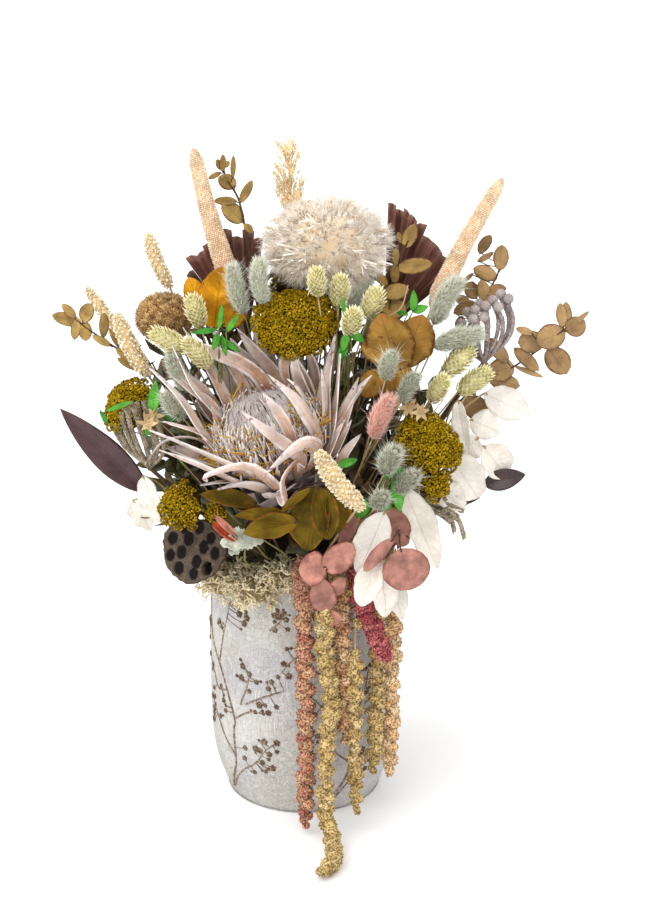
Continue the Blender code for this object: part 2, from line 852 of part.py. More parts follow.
def lotus_pod():
    piece = Piece("lotus_pod", "lotus")
    face = Vector((-95, -98, 273))
    axis = Vector((-0.42, -0.84, 0.34)).normalized()
    rings = ((0.0, 30.0), (-5.0, 31.5), (-14.0, 27.0), (-30.0, 13.0), (-42.0, 5.5))
    back = rings[-1][0]
    bm = bmesh.new()
    bmesh.ops.create_cone(
        bm, cap_ends=True, segments=14, radius1=rings[-1][1], radius2=rings[0][1], depth=1.0
    )
    walls = [edge for edge in bm.edges if abs(edge.verts[0].co.z - edge.verts[1].co.z) > 0.5]
    bmesh.ops.subdivide_edges(bm, edges=walls, cuts=len(rings) - 2)
    for vert in bm.verts:
        number = round((0.5 - vert.co.z) * (len(rings) - 1))
        height, radius = rings[number]
        turn = math.atan2(vert.co.y, vert.co.x)
        radius *= 1 + 0.05 * math.sin(3 * turn + 0.6)
        vert.co = Vector((math.cos(turn) * radius, math.sin(turn) * radius * 0.92, height))
    bm.transform(Matrix.Translation(face) @ turned_towards(axis))
    piece.add(bm)
    holes = []
    for count, ring, start in ((4, 8.0, 0.3), (9, 21.5, 0.1)):
        for number in range(count):
            angle = start + math.tau * number / count
            spot = Matrix.Translation(face) @ turned_towards(axis)
            spot = spot @ Vector((math.cos(angle) * ring, math.sin(angle) * ring * 0.92, 0))
            hole = bmesh.new()
            bmesh.ops.create_cone(
                hole, cap_ends=True, segments=5, radius1=3.2, radius2=4.2, depth=12.0
            )
            hole.transform(Matrix.Translation(spot) @ turned_towards(axis))
            holes.append(hole)
    piece.holes = holes
    return piece, face + axis * (back + 4)


# Bunches of small heads: (centre, length, width), with the stems joined at a fork

BUNCHES = {
    "setaria_left": ("setaria", [
        ((-126, 15, 501), 50, 13),
        ((-170, 20, 446), 66, 12),
        ((-147, -50, 442), 58, 17),
    ]),
    "phalaris_left": ("phalaris", [
        ((-112, -78, 456), 30, 14),
        ((-90, -64, 478), 30, 15),
        ((-86, -84, 446), 32, 15),
    ]),
    "phalaris_centre": ("phalaris", [
        ((32, -72, 498), 30, 14),
        ((42, -92, 476), 28, 15),
        ((60, -72, 487), 32, 18),
        ((13, -82, 508), 27, 13),
    ]),
    "phalaris_right": ("phalaris", [
        ((132, -62, 431), 32, 16),
        ((148, -62, 416), 32, 16),
        ((116, -82, 414), 26, 13),
    ]),
    "lagurus_back_left": ("lagurus", [
        ((-54, -52, 494), 44, 17),
        ((-34, -64, 504), 40, 17),
    ]),
    "lagurus_left": ("lagurus", [
        ((-104, -78, 428), 40, 17),
        ((-108, -98, 404), 34, 16),
    ]),
    "lagurus_right": ("lagurus", [
        ((126, -42, 481), 46, 20),
        ((139, -62, 459), 34, 17),
    ]),
    "lagurus_centre": ("lagurus", [
        ((73, -118, 446), 28, 17),
        ((90, -112, 425), 30, 17),
    ]),
    "lagurus_grey": ("lagurus", [
        ((74, -146, 372), 32, 20),
        ((88, -138, 350), 30, 18),
        ((66, -154, 340), 28, 17),
    ]),
    "lagurus_back": ("lagurus", [
        ((-62, 78, 452), 44, 18),
        ((-30, 96, 430), 40, 17),
        ((52, 92, 446), 44, 18),
    ]),
}


def bunch_heads(name):
    """The heads of a bunch, pointing away from the place where their stems meet."""
    look, heads = BUNCHES[name]
    piece = Piece(name, look)
    middle = sum((Vector(centre) for centre, _, _ in heads), Vector()) / len(heads)
    meet = foam_entry(middle).lerp(middle, 0.45)
    feet = []
    for centre, length, width in heads:
        axis = (Vector(centre) - meet).normalized()
        if look == "setaria":
            piece.add(head(centre, axis, length, width, stations=5, profile=club, relief=0.12))
        else:
            piece.add(head(centre, axis, length, width))
        feet.append(Vector(centre) - axis * (length / 2 - 3))
    return piece, middle, feet


# Palm fans: the root, then the tips of one edge, the middle and the other edge

PALMS = {
    "palm_left": ((-50, 32, 420), [(-104, 34, 474), (-68, 44, 527), (-36, 44, 518)]),
    "palm_right": ((72, 30, 430), [(72, 46, 548), (102, 44, 530), (130, 34, 478)]),
}


def palm(name, root, tips, pleats=7):
    """A pleated fan cut square at its edge, from its root to three tip directions."""
    piece = Piece(name, "palm")
    root = Vector(root)
    arms = [Vector(tip) - root for tip in tips]
    bm = bmesh.new()
    bmesh.ops.create_grid(bm, x_segments=2 * pleats, y_segments=1, size=0.5)
    normal = arms[0].cross(arms[2]).normalized()
    for vert in bm.verts:
        share = vert.co.x + 0.5
        out = vert.co.y > 0
        side = 0 if share < 0.5 else 1
        near, far = arms[side], arms[side + 1]
        local = share * 2 - side
        length = near.length * (1 - local) + far.length * local
        arm = near.normalized().slerp(far.normalized(), local) * length
        line = round(share * 2 * pleats)
        fold = normal * (4.6 if line % 2 else -4.6)
        vert.co = root + (arm * 0.97 + fold if out else arm.normalized() * 12 + fold * 0.25)
    bmesh.ops.triangulate(bm, faces=bm.faces[:])
    bmesh.ops.recalc_face_normals(bm, faces=bm.faces[:])
    bmesh.ops.solidify(bm, geom=bm.faces[:] + bm.edges[:] + bm.verts[:], thickness=1.1)
    bmesh.ops.recalc_face_normals(bm, faces=bm.faces[:])
    piece.add(bm)
    middle = arms[1].normalized()
    piece.add(sweep(arched(root - middle * 12, root + middle * 26), 4, 2, even(4.5)))
    return piece, root - middle * 9


# Broad leaves: the foot of their stem, its radius, then (tip, width, facing, bow)

LEAVES = {
    "amber_leaf_left": ("amber_leaf", (-58, -30, 448), 1.4, [
        ((-73, -38, 502), 34, (0.1, -1, 0.3), 0.06),
        ((-96, -22, 498), 26, (-0.2, -0.9, 0.5), 0.05),
    ]),
    "amber_leaf_right": ("amber_leaf", (66, -62, 412), 1.5, [
        ((72, -90, 484), 46, (0.0, -1, 0.35), 0.04),
        ((104, -90, 462), 34, (0.1, -1, 0.3), 0.05),
        ((50, -98, 440), 28, (-0.2, -1, 0.3), 0.05),
    ]),
    "dark_leaf_left": ("dark_leaf", (-134, -58, 308), 1.8, [
        ((-208, -40, 378), 27, (-0.3, -0.8, 0.5), -0.06),
        ((-190, -22, 344), 24, (-0.3, -0.7, 0.6), -0.05),
    ]),
    "dark_leaf_right": ("dark_leaf", (132, -52, 318), 1.6, [
        ((197, -48, 318), 24, (0.1, -0.8, 0.6), -0.06),
    ]),
    "white_leaves_right": ("white_leaf", (120, -42, 340), 1.6, [
        ((196, -34, 400), 46, (0.2, -0.9, 0.4), 0.08),
        ((186, -64, 352), 42, (0.3, -0.9, 0.3), 0.10),
        ((150, -66, 398), 40, (-0.2, -1, 0.2), 0.06),
        ((176, -20, 318), 38, (0.3, -0.8, 0.2), 0.06),
    ]),
    "white_leaves_low": ("white_leaf", (-104, -66, 290), 1.4, [
        ((-146, -84, 326), 30, (-0.4, -0.9, 0.2), 0.08),
        ((-140, -50, 290), 26, (-0.5, -0.8, 0.4), 0.08),
    ]),
    "white_leaves_front": ("white_leaf", (56, -112, 288), 1.6, [
        ((46, -148, 322), 30, (-0.2, -1, 0.2), 0.08),
        ((72, -140, 232), 36, (0.1, -1, 0.1), 0.10),
        ((112, -118, 312), 34, (0.2, -1, 0.3), 0.08),
    ]),
    "white_leaves_back": ("white_leaf", (30, 92, 306), 1.5, [
        ((48, 148, 344), 40, (0.2, 1, 0.4), 0.08),
        ((-8, 142, 322), 38, (-0.2, 1, 0.4), 0.08),
        ((84, 132, 312), 36, (0.4, 1, 0.2), 0.08),
    ]),
    "pink_eucalyptus_left": ("pink_leaf", (22, -118, 268), 1.3, [
        ((0, -142, 280), 29, (-0.1, -1, 0.3), 0.05),
        ((38, -142, 292), 27, (0.1, -1, 0.2), 0.05),
        ((17, -138, 232), 30, (0, -1, 0.1), 0.06),
    ]),
    "pink_eucalyptus_right": ("pink_leaf", (84, -104, 286), 1.3, [
        ((94, -132, 262), 38, (0.1, -1, 0.2), 0.04),
        ((70, -130, 318), 24, (-0.1, -1, 0.1), 0.06),
    ]),
    "olive_leaves": ("olive_leaf", (-30, -104, 300), 1.6, [
        ((-88, -118, 334), 26, (-0.1, -0.7, 0.7), 0.10),
        ((-76, -130, 306), 26, (-0.1, -0.8, 0.6), 0.10),
        ((-42, -146, 298), 26, (0, -0.6, 0.8), 0.12),
        ((-4, -150, 302), 26, (0, -0.6, 0.8), 0.10),
        ((30, -142, 302), 28, (0.1, -0.8, 0.5), 0.10),
        ((40, -132, 324), 26, (0.1, -0.8, 0.5), 0.08),
    ]),
}


def broad_leaves(name):
    look, foot, radius, leaves = LEAVES[name]
    piece = Piece(name, look)
    joint = stem(piece, foot, radius)
    for tip, width, facing, bow in leaves:

        def make(shift, tip=tip, width=width, facing=facing, bow=bow):
            end = Vector(tip) + shift
            return blade(joint, end, width, facing, bow, stations=3, fullness=0.75, wave=0.05)

        BLOCKERS.clear()
        shape = fit(make, piece)
        if shape:
            piece.add(shape)
        else:
            report(piece, f"leaf near {tip}")
    return piece


# Leafy sprays: points along the stem past its foot, leaf pairs, leaf length and width

SPRAYS = {
    "eucalyptus_top_left": ("eucalyptus", [(-50, 20, 500), (-60, 28, 548), (-70, 35, 588)], 5, 26, 14),
    "eucalyptus_top_right": ("eucalyptus", [(136, 0, 430), (154, 14, 478), (164, 24, 526)], 4, 27, 15),
    "eucalyptus_right": (
        "eucalyptus", [(138, -14, 374), (190, -22, 414), (224, -22, 452), (246, -18, 466)], 5, 30, 17
    ),
    "eucalyptus_left": ("eucalyptus", [(-128, -10, 412), (-170, -12, 440), (-212, -12, 464)], 4, 26, 14),
    "eucalyptus_middle": ("eucalyptus", [(80, -20, 456), (90, -4, 496), (98, 8, 540)], 4, 26, 17),
    "eucalyptus_back": ("eucalyptus", [(0, 86, 400), (-6, 110, 452), (-8, 120, 506)], 4, 28, 16),
}
SPRIGS = {
    "greens_left": [(-124, -70, 414), (-72, -66, 470)],
    "greens_back": [(98, -58, 488), (30, -44, 484)],
    "greens_front": [(86, -126, 334)],
}


def spray(name):
    look, points, pairs, leaf, width = SPRAYS[name]
    piece = Piece(name, look)
    joint = stem(piece, points[0], 1.5)
    leafy(piece, [joint, *points[1:]], 1.4, pairs, leaf, width, seed=len(name), start=0.2)
    return piece


def greens(name):
    """Thin green leaves on short sprigs that share a stem."""
    piece = Piece(name, "green_leaf")
    tips = [Vector(tip) for tip in SPRIGS[name]]
    middle = sum(tips, Vector()) / len(tips)
    for number, run in enumerate(fork_and_branches(piece, middle, tips, 1.3, 0.9)):
        leafy_sprig(piece, run.path, number)
    return piece


def leafy_sprig(piece, path, seed):
    draw = random.Random(seed + 40)
    for number in range(6):
        t = 0.55 + 0.43 * number / 5
        spot = path(t)
        ahead = (path(min(t + 0.03, 1)) - path(t - 0.03)).normalized()
        first, second = around(ahead)
        angle = 2.4 * number
        out = (first * math.cos(angle) + second * math.sin(angle) + ahead * 0.9).normalized()
        normal = first * math.sin(angle) - second * math.cos(angle)
        length = draw.uniform(15, 21)

        def make(shift, out=out, normal=normal, spot=spot, length=length):
            tip = spot + (out * length + shift * 0.6).normalized() * length
            return blade(spot, tip, 7.0, normal, stations=1)

        shape = fit(make, piece)
        if shape:
            piece.add(shape)


# Brunia: knobby fingers with a ball at each tip

BRUNIA = {
    "brunia_right": (
        (150, -34, 410), [(160, -16, 476), (174, -22, 480), (184, -34, 468), (168, -40, 462)]
    ),
    "brunia_left": (
        (-116, -78, 345), [(-158, -80, 394), (-148, -98, 386), (-136, -104, 376), (-164, -62, 374)]
    ),
    "brunia_low": ((88, -88, 312), [(132, -92, 308), (126, -108, 316), (136, -76, 320)]),
}


def brunia(name):
    fork, tips = BRUNIA[name]
    piece = Piece(name, "brunia")
    joint = stem(piece, fork, 1.8)
    for tip in tips:
        for shift in SHIFTS:
            end = Vector(tip) + shift
            finger = sweep(arched(joint, end, (0, 0, -3)), 3, 4, knobbly(3.9, even(1.0), 0.2), blunt=True)
            ball = head(end, end - joint, 14, 14, sides=4, stations=2, relief=0.0)
            if not blocked(finger, piece, past=()) and not blocked(ball, piece, past=()):
                piece.add(finger)
                piece.add(ball)
                break
            finger.free()
            ball.free()
        else:
            print(name, "finger left out near", tip)
    return piece


# Amaranth tails: the stem's way over the rim, then the tail's points to its tip

TAILS = {
    # look and tails: width of the tail, then the way over the rim and down
    "amaranth_peach": ("peach_tail", [
        (17, (-2, -100, 251), [(-2, -112, 225), (-1, -112, 110), (0, -111, 8)]),
    ]),
    "amaranth_gold": ("gold_tail", [
        (17, (24, -104, 253), [
            (26, -121, 228), (27, -122, 110), (26, -123, 26), (24, -145, 9.2), (20, -190, 8.6)
        ]),
    ]),
    "amaranth_pair": ("peach_tail", [
        (17, (38, -94, 250), [(41, -105, 226), (42, -106, 160), (42, -107, 92)]),
        (13, (54, -96, 251), [(58, -108, 226), (58, -109, 120), (55, -109, 20)]),
    ]),
    "amaranth_olive": ("gold_tail", [
        (16, (60, -76, 249), [(66, -84, 226), (66, -84, 130), (65, -84, 50)]),
        (16, (80, -62, 250), [(84, -68, 226), (84, -68, 130), (83, -70, 40)]),
    ]),
    "amaranth_magenta": ("magenta_tail", [
        (16, (78, -92, 251), [(81, -100, 226), (81, -100, 195), (81, -100, 160)]),
    ]),
}


KNOT_PITCH = 29.0


def amaranth(name):
    look, tails = TAILS[name]
    piece = Piece(name, look)
    arches = [Vector(arch) for _, arch, _ in tails]
    middle = sum(arches, Vector()) / len(arches)
    for (width, arch, points), run in zip(tails, fork_and_branches(piece, middle, arches, 1.6, 1.3)):
        path = through(run.path(0.7), arch, *points)
        spots = [path(step / 20) for step in range(21)]
        length = sum((b - a).length for a, b in zip(spots, spots[1:]))
        stations = 2 * round(length / KNOT_PITCH)
        shape = knobbly(width * 0.48, lambda t: min(1.0, 6 * t + 0.3, 8 * (1 - t) + 0.3), 0.16)
        tail = sweep(path, 6, stations, shape)
        for vert in tail.verts:
            vert.co.z = max(vert.co.z, 0.0)
        piece.add(tail)
    return piece


# Moss round the rim

MOSS_GAP = 0.6
MOSS = {
    # start and end angle, count, lump radius
    "moss_front": (-205, -98, 7, 20),
    "moss_back": (30, 136, 6, 20),
}


def moss(name):
    start, end, count, size = MOSS[name]
    piece = Piece(name, "moss")
    draw = random.Random(count)
    for number in range(count):
        angle = math.radians(start + (end - start) * number / (count - 1))
        for tries in range(5):
            radius = RIM_RADIUS - 5 + draw.uniform(-2, 3)
            spot = Vector((math.cos(angle) * radius, math.sin(angle) * radius, 240 + draw.uniform(-2, 3)))
            bm = bmesh.new()
            bmesh.ops.create_icosphere(bm, subdivisions=1, radius=size * (1 - 0.15 * tries))
            for vert in bm.verts:
                vert.co *= draw.uniform(0.82, 1.15)
            bmesh.ops.poke(bm, faces=bm.faces[:], offset=size * 0.22, center_mode="MEAN_WEIGHTED")
            for vert in bm.verts:
                vert.co.z *= 0.85
            bm.transform(Matrix.Translation(spot))
            if not blocked(bm, piece, past=("floral_foam", "vase"), past_stalks=True):
                piece.add(bm)
                break
            bm.free()
    return piece


def moss_bed(group):
    """What the moss lies on: the foam and the rim, grown by the gap that is left to them."""
    near = RIM_RADIUS + MOSS_GAP
    rim = [(RIM_RADIUS - 2, VASE_HEIGHT + MOSS_GAP), (near, VASE_HEIGHT - 3), (near, 200), (0, 200)]
    obj = lathe("moss_bed", foam_profile(MOSS_GAP) + rim, 30, group)
    bm = bmesh.new()
    bm.from_mesh(obj.data)
    bm.transform(Matrix.Scale(1 / MM, 4))
    bpy.data.objects.remove(obj)
    return bm


def main():
    for obj in list(bpy.data.objects):
        bpy.data.objects.remove(obj)
    group = collection("flower_arrangement")
    vase = make_vase(group)
    foam = make_foam(group)

    cups, cups_foot = protea()
    stems = [(cups, cups_foot, 4.0)]
    stems.append((*puff(), 2.6))
    for name, (look, base, tip, width, sides, stations, profile, relief, radius) in SPIKES.items():
        stems.append((*single(name, look, base, tip, width, sides, stations, profile, relief), radius))
    stems.append((*plume(), 1.6))
    stems.append((*cluster(), 1.8))
    pod, pod_foot = lotus_pod()
    stems.append((pod, pod_foot, 2.6))
    for name, (root, tips) in PALMS.items():
        stems.append((*palm(name, root, tips), 2.6))
    for name, place in YARROW.items():
        stems.append((*yarrow(name, *place), 1.7))
    forks = [bunch_heads(name) for name in BUNCHES]

    for piece, foot, radius in stems:
        stem(piece, foot, radius)
    for piece, middle, feet in forks:
        fork_and_branches(piece, middle, feet)
    for name in TAILS:
        amaranth(name)
    for name in BRUNIA:
        brunia(name)
    for name in SPRIGS:
        greens(name)
    for name in SPRAYS:
        spray(name)
    for name in LEAVES:
        broad_leaves(name)
    mosses = [moss(name) for name in MOSS]

    sleeves = [sleeve for piece in PIECES.values() for sleeve in piece.sleeves]
    for piece in PIECES.values():
        if piece.name in ("vase", "floral_foam"):
            continue
        obj = finish(piece, group)
        if piece in mosses:
            combine(obj, [moss_bed(group)] + [sleeve.copy() for sleeve in sleeves], "DIFFERENCE")
            keep_body(obj)
        if piece.name == "lotus_pod":
            combine(obj, piece.holes, "DIFFERENCE")
            keep_body(obj)
    combine(foam, sleeves, "DIFFERENCE")
    keep_body(foam)


main()
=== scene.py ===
# Dried flower arrangement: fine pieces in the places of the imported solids
from math import atan2, cos, hypot, log, pi, radians, sin, sqrt, tau

import bmesh
import bpy
import numpy as np
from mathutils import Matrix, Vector
from numpy.linalg import norm


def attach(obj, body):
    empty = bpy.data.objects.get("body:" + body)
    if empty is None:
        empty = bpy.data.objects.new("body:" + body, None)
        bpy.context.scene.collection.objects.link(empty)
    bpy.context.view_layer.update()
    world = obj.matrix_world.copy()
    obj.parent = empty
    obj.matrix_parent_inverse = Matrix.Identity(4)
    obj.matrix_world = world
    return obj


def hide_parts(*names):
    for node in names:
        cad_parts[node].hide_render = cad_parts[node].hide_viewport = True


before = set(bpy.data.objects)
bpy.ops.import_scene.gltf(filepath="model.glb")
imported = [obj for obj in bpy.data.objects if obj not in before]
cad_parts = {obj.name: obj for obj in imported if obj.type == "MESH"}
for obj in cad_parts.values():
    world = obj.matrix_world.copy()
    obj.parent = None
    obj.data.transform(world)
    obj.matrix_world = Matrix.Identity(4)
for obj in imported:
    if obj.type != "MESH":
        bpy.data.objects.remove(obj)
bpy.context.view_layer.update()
print("solids loaded:", len(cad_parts))

mm = 0.001  # lengths below are in millimetres
golden = pi * (3 - sqrt(5))  # turn from one floret to the next


# Vectors and paths

def unit(vectors):
    vectors = np.asarray(vectors, float)
    return vectors / np.maximum(norm(vectors, axis=-1, keepdims=True), 1e-9)


def turns(axes, faces):
    # matrices with the columns across, along and out
    along = unit(axes)
    faces = np.broadcast_to(np.asarray(faces, float), along.shape)
    out = faces - (faces * along).sum(-1, keepdims=True) * along
    flat = norm(out, axis=-1, keepdims=True) < 1e-4
    out = unit(np.where(flat, np.cross(along, [0.3, 0.8, 0.5]), out))
    return np.stack([np.cross(along, out), along, out], axis=-1)


def basisOf(axis, facing=(0, -1, 0.3)):
    return turns(axis[None], facing)[0]


def roundAxis(turn, basis):
    # the ways out of an axis at angles round it
    return np.cos(turn)[..., None] * basis[..., 0] + np.sin(turn)[..., None] * basis[..., 2]


def splinePath(spots, count):
    # points on a smooth line through the spots
    spots = np.asarray(spots, float)
    ends = np.concatenate([2 * spots[:1] - spots[1:2], spots, 2 * spots[-1:] - spots[-2:-1]])
    t = np.linspace(0, len(spots) - 1, count)
    index = np.minimum(t.astype(int), len(spots) - 2)
    u = (t - index)[:, None]
    a, b, c, d = (ends[index + step] for step in range(4))
    return 0.5 * (2 * b + (c - a) * u + (2 * a - 5 * b + 4 * c - d) * u**2 + (3 * b - a - 3 * c + d) * u**3)


def sphereSpots(count, rng, lowest=-1):
    # spiral over a unit sphere, from the top down
    height = 1 - shares(count) * (1 - lowest)
    turn = np.arange(count) * golden + rng.uniform(0, 6)
    ring = np.sqrt(np.maximum(0, 1 - height**2))
    return np.stack([np.cos(turn) * ring, np.sin(turn) * ring, height], axis=-1)


def onPath(path, level):
    steps = np.linspace(0, 1, len(path))
    return np.stack([np.interp(level, steps, path[:, k]) for k in range(3)], axis=-1)


def seeded(number):
    return np.random.default_rng(number)


def shares(count):
    return (np.arange(count) + 0.5) / count


def each(values, count):
    return np.repeat(values, count, axis=0)


def jitter(points, rng, amount):
    return points + rng.normal(size=np.shape(points)) * amount


# Heaps gather points and faces; a point's key is (across, along, tone) for its look

class Heap:
    def __init__(self):
        self.points, self.keys, self.faces, self.skins, self.count = [], [], [], [], 0

    def add(self, shape, skin=0, tone=None):
        points, faces, keys = shape
        if tone is not None:
            keys = keys.copy()
            keys[:, 2] = tone
        self.points.append(points)
        self.keys.append(keys)
        for group in faces:
            self.faces.append(group + self.count)
            self.skins.append(np.full(len(group), skin))
        self.count += len(points)

    def stem(self, radius, foot, seed, start=None, tone=0.2, sides=5, skin=1):
        self.add(stemShape(stemRun(foot, seed, start), radius, tone, sides), skin)


def ringFaces(index):
    # walls between the rings of each body, and end caps
    after = np.roll(index, -1, axis=2)
    walls = np.stack([index[:, :-1], after[:, :-1], after[:, 1:], index[:, 1:]], axis=-1).reshape(-1, 4)
    return [walls, np.concatenate([index[:, 0, ::-1], index[:, -1]])]


def sheetFaces(rows, columns):
    # both sides and the edge of a thin sheet; the lower points follow the upper ones
    index = np.arange(rows * columns).reshape(rows, columns)
    top = np.stack([index[:-1, :-1], index[:-1, 1:], index[1:, 1:], index[1:, :-1]], axis=-1).reshape(-1, 4)
    rim = np.concatenate([index[0], index[1:, -1], index[-1, -2::-1], index[-2:0:-1, 0]])
    after = np.roll(rim, -1)
    edge = np.stack([rim, rim + index.size, after + index.size, after], axis=-1)
    return [np.concatenate([top, top[:, ::-1] + index.size, edge])]


def stamped(template, spots, matrices, sizes, tones):
    # copies of a template; sizes is one number or three for each copy
    points, faces, keys = template
    spots = np.asarray(spots, float)
    count = len(spots)
    sizes = np.broadcast_to(np.asarray(sizes, float).reshape(-1, 1) if np.ndim(sizes) < 2 else sizes,
        (count, 3))
    laid = np.einsum("nij,nvj->nvi", matrices, points[None] * sizes[:, None]) + spots[:, None]
    step = np.arange(count)[:, None, None] * len(points)
    copied = [(group[None] + step).reshape(-1, group.shape[1]) for group in faces]
    marks = each(keys[None], count)
    marks[:, :, 2] = np.broadcast_to(tones, count)[:, None]
    return laid.reshape(-1, 3), copied, marks.reshape(-1, 3)


def tubes(paths, radii, sides=5, tones=0.5, flat=1):
    # one tube along each path of (count, stations, 3)
    paths = np.asarray(paths, float)
    if paths.ndim == 2:
        paths = paths[None]
    count, stations, _ = paths.shape
    radii = np.broadcast_to(radii, (count, stations))
    ahead = unit(np.gradient(paths, axis=1))
    chord = unit(paths[:, -1] - paths[:, 0])[:, None]
    helper = np.where(np.abs(chord[..., 2:]) < 0.9, [0, 0, 1], [1, 0, 0])
    side = unit(np.cross(ahead, helper))
    over = np.cross(side, ahead) * flat
    turn = np.arange(sides) / sides * tau
    ring = side[:, :, None] * np.cos(turn)[:, None] + over[:, :, None] * np.sin(turn)[:, None]
    points = paths[:, :, None] + ring * radii[:, :, None, None]
    index = np.arange(count * stations * sides).reshape(count, stations, sides)
    keys = np.zeros((count, stations, sides, 3))
    keys[..., 0] = np.cos(turn)
    keys[..., 1] = np.linspace(0, 1, stations)[None, :, None]
    keys[..., 2] = np.broadcast_to(tones, count)[:, None, None]
    return points.reshape(-1, 3), ringFaces(index), keys.reshape(-1, 3)


def pointedHairs(starts, ends, radius, tones=0.5):
    # three-sided hairs that end in a point
    starts, ends = np.asarray(starts, float), np.asarray(ends, float)
    count = len(starts)
    ahead = unit(ends - starts)
    helper = np.where(np.abs(ahead[:, 2:]) < 0.9, [0, 0, 1], [1, 0, 0])
    side = unit(np.cross(ahead, helper))
    over = np.cross(side, ahead)
    turn = np.arange(3) / 3 * tau
    ring = side[:, None] * np.cos(turn)[:, None] + over[:, None] * np.sin(turn)[:, None]
    points = np.concatenate([starts[:, None] + ring * radius, ends[:, None]], axis=1)
    first = np.arange(count)[:, None] * 4
    faces = np.concatenate([first + corners for corners in ([0, 1, 3], [1, 2, 3], [2, 0, 3], [0, 2, 1])])
    keys = np.zeros((count, 4, 3))
    keys[:, 3, 1] = 1
    keys[..., 2] = np.broadcast_to(tones, count)[:, None]
    return points.reshape(-1, 3), [faces], keys.reshape(-1, 3)


def turned(profile, steps):
    # a closed body turned about Z from (radius, height) points, bottom to top
    profile = np.asarray(profile, float)
    turn = np.arange(steps) / steps * tau
    ring = np.stack([np.cos(turn), np.sin(turn)], axis=-1)
    high = np.broadcast_to(profile[:, None, 1:], (len(profile), steps, 1))
    points = np.concatenate([profile[:, None, :1] * ring[None], high], axis=-1)
    index = np.arange(len(profile) * steps).reshape(1, len(profile), steps)
    keys = np.zeros((len(profile), steps, 3))
    keys[..., 1] = np.linspace(0, 1, len(profile))[:, None]
    return points.reshape(-1, 3), ringFaces(index), keys.reshape(-1, 3)


def ball(subdivisions=1):
    # without subdivisions it is a seed with eight faces
    bm = bmesh.new()
    if subdivisions:
        bmesh.ops.create_icosphere(bm, subdivisions=subdivisions, radius=1)
    else:
        bmesh.ops.create_uvsphere(bm, u_segments=4, v_segments=2, radius=1)
    bm.verts.ensure_lookup_table()
    points = np.array([vert.co for vert in bm.verts])
    faces = np.array([[vert.index for vert in face.verts] for face in bm.faces])
    bm.free()
    keys = np.zeros_like(points)
    keys[:, 1] = points[:, 2] * 0.5 + 0.5
    return points, [faces], keys


def wobble(points, amount, pitch, seed=0):
    # smooth bumps from a few sine waves
    rng = seeded(seed)
    shift = np.zeros_like(points)
    for octave in range(4):
        waves = unit(rng.normal(size=(3, 3))) * (tau / pitch * 1.7**octave)
        shift += np.sin(points @ waves.T + rng.uniform(0, 6, 3)) * (amount / 1.6**octave)
    return points + shift


# Leaves: closed blades with the root at the origin, the tip along +Y and the face on +Z

def oval(widest=0.45, blunt=0.75):
    power = log(0.5) / log(widest)
    return lambda v: np.sin(pi * np.clip(v, 0, 1) ** power) ** blunt


def strap(foot=0.45, shoulder=0.75):
    # a bract: narrow foot, even middle, tapered tip
    return lambda v: ((foot + (1 - foot) * np.minimum(v / 0.4, 1))
        * np.minimum(1, ((1 - v) / (1 - shoulder)) ** 0.8 + 0.02))


def leafShape(length, width, outline, across=6, along=10, fold=0, cup=0, bend=0, curl=0, twist=0, ripple=0,
        thick=0.45, roll=0, sway=0, seed=0, notch=0):
    rng = seeded(seed)
    u, v = np.meshgrid(np.linspace(-1, 1, across + 1), np.linspace(0, 1, along + 1))
    half = width / 2 * np.maximum(outline(v), 0.03)
    if notch:
        half = half * (1 + notch * np.sin(v * 23 + rng.uniform(0, 6)) * np.sin(v * 41 + rng.uniform(0, 6)))
    angle = bend * v + curl * v**4
    step = length / along
    run = np.cumsum(np.cos(angle) * step, axis=0) - np.cos(angle[:1]) * step
    rise = np.cumsum(np.sin(angle) * step, axis=0) - np.sin(angle[:1]) * step
    turn = roll * np.abs(u) ** 1.5  # the sides roll up towards each other
    flat = np.sign(u) * (np.sin(turn) / roll if roll else np.abs(u)) * half
    lift = fold * np.abs(u) * half + cup * u**2 * half
    if roll:
        lift = lift + (1 - np.cos(turn)) / roll * half
    wave = np.sin(v * 2.5 * tau + np.where(u > 0, *rng.uniform(0, 6, 2)))
    lift = lift + ripple * width * wave * np.abs(u) ** 1.5 * np.sin(pi * np.clip(v, 0, 1)) ** 0.5
    x = flat * np.cos(twist * v) - lift * np.sin(twist * v) + sway * length * v**2
    out = flat * np.sin(twist * v) + lift * np.cos(twist * v)
    sides = [np.stack([x, run - np.sin(angle) * (out + drop), rise + np.cos(angle) * (out + drop)], axis=-1)
        for drop in (0, -thick)]
    points = np.concatenate([side.reshape(-1, 3) for side in sides])
    keys = np.stack([u, v, np.zeros_like(u)], axis=-1).reshape(-1, 3)
    return points, sheetFaces(along + 1, across + 1), np.concatenate([keys, keys])


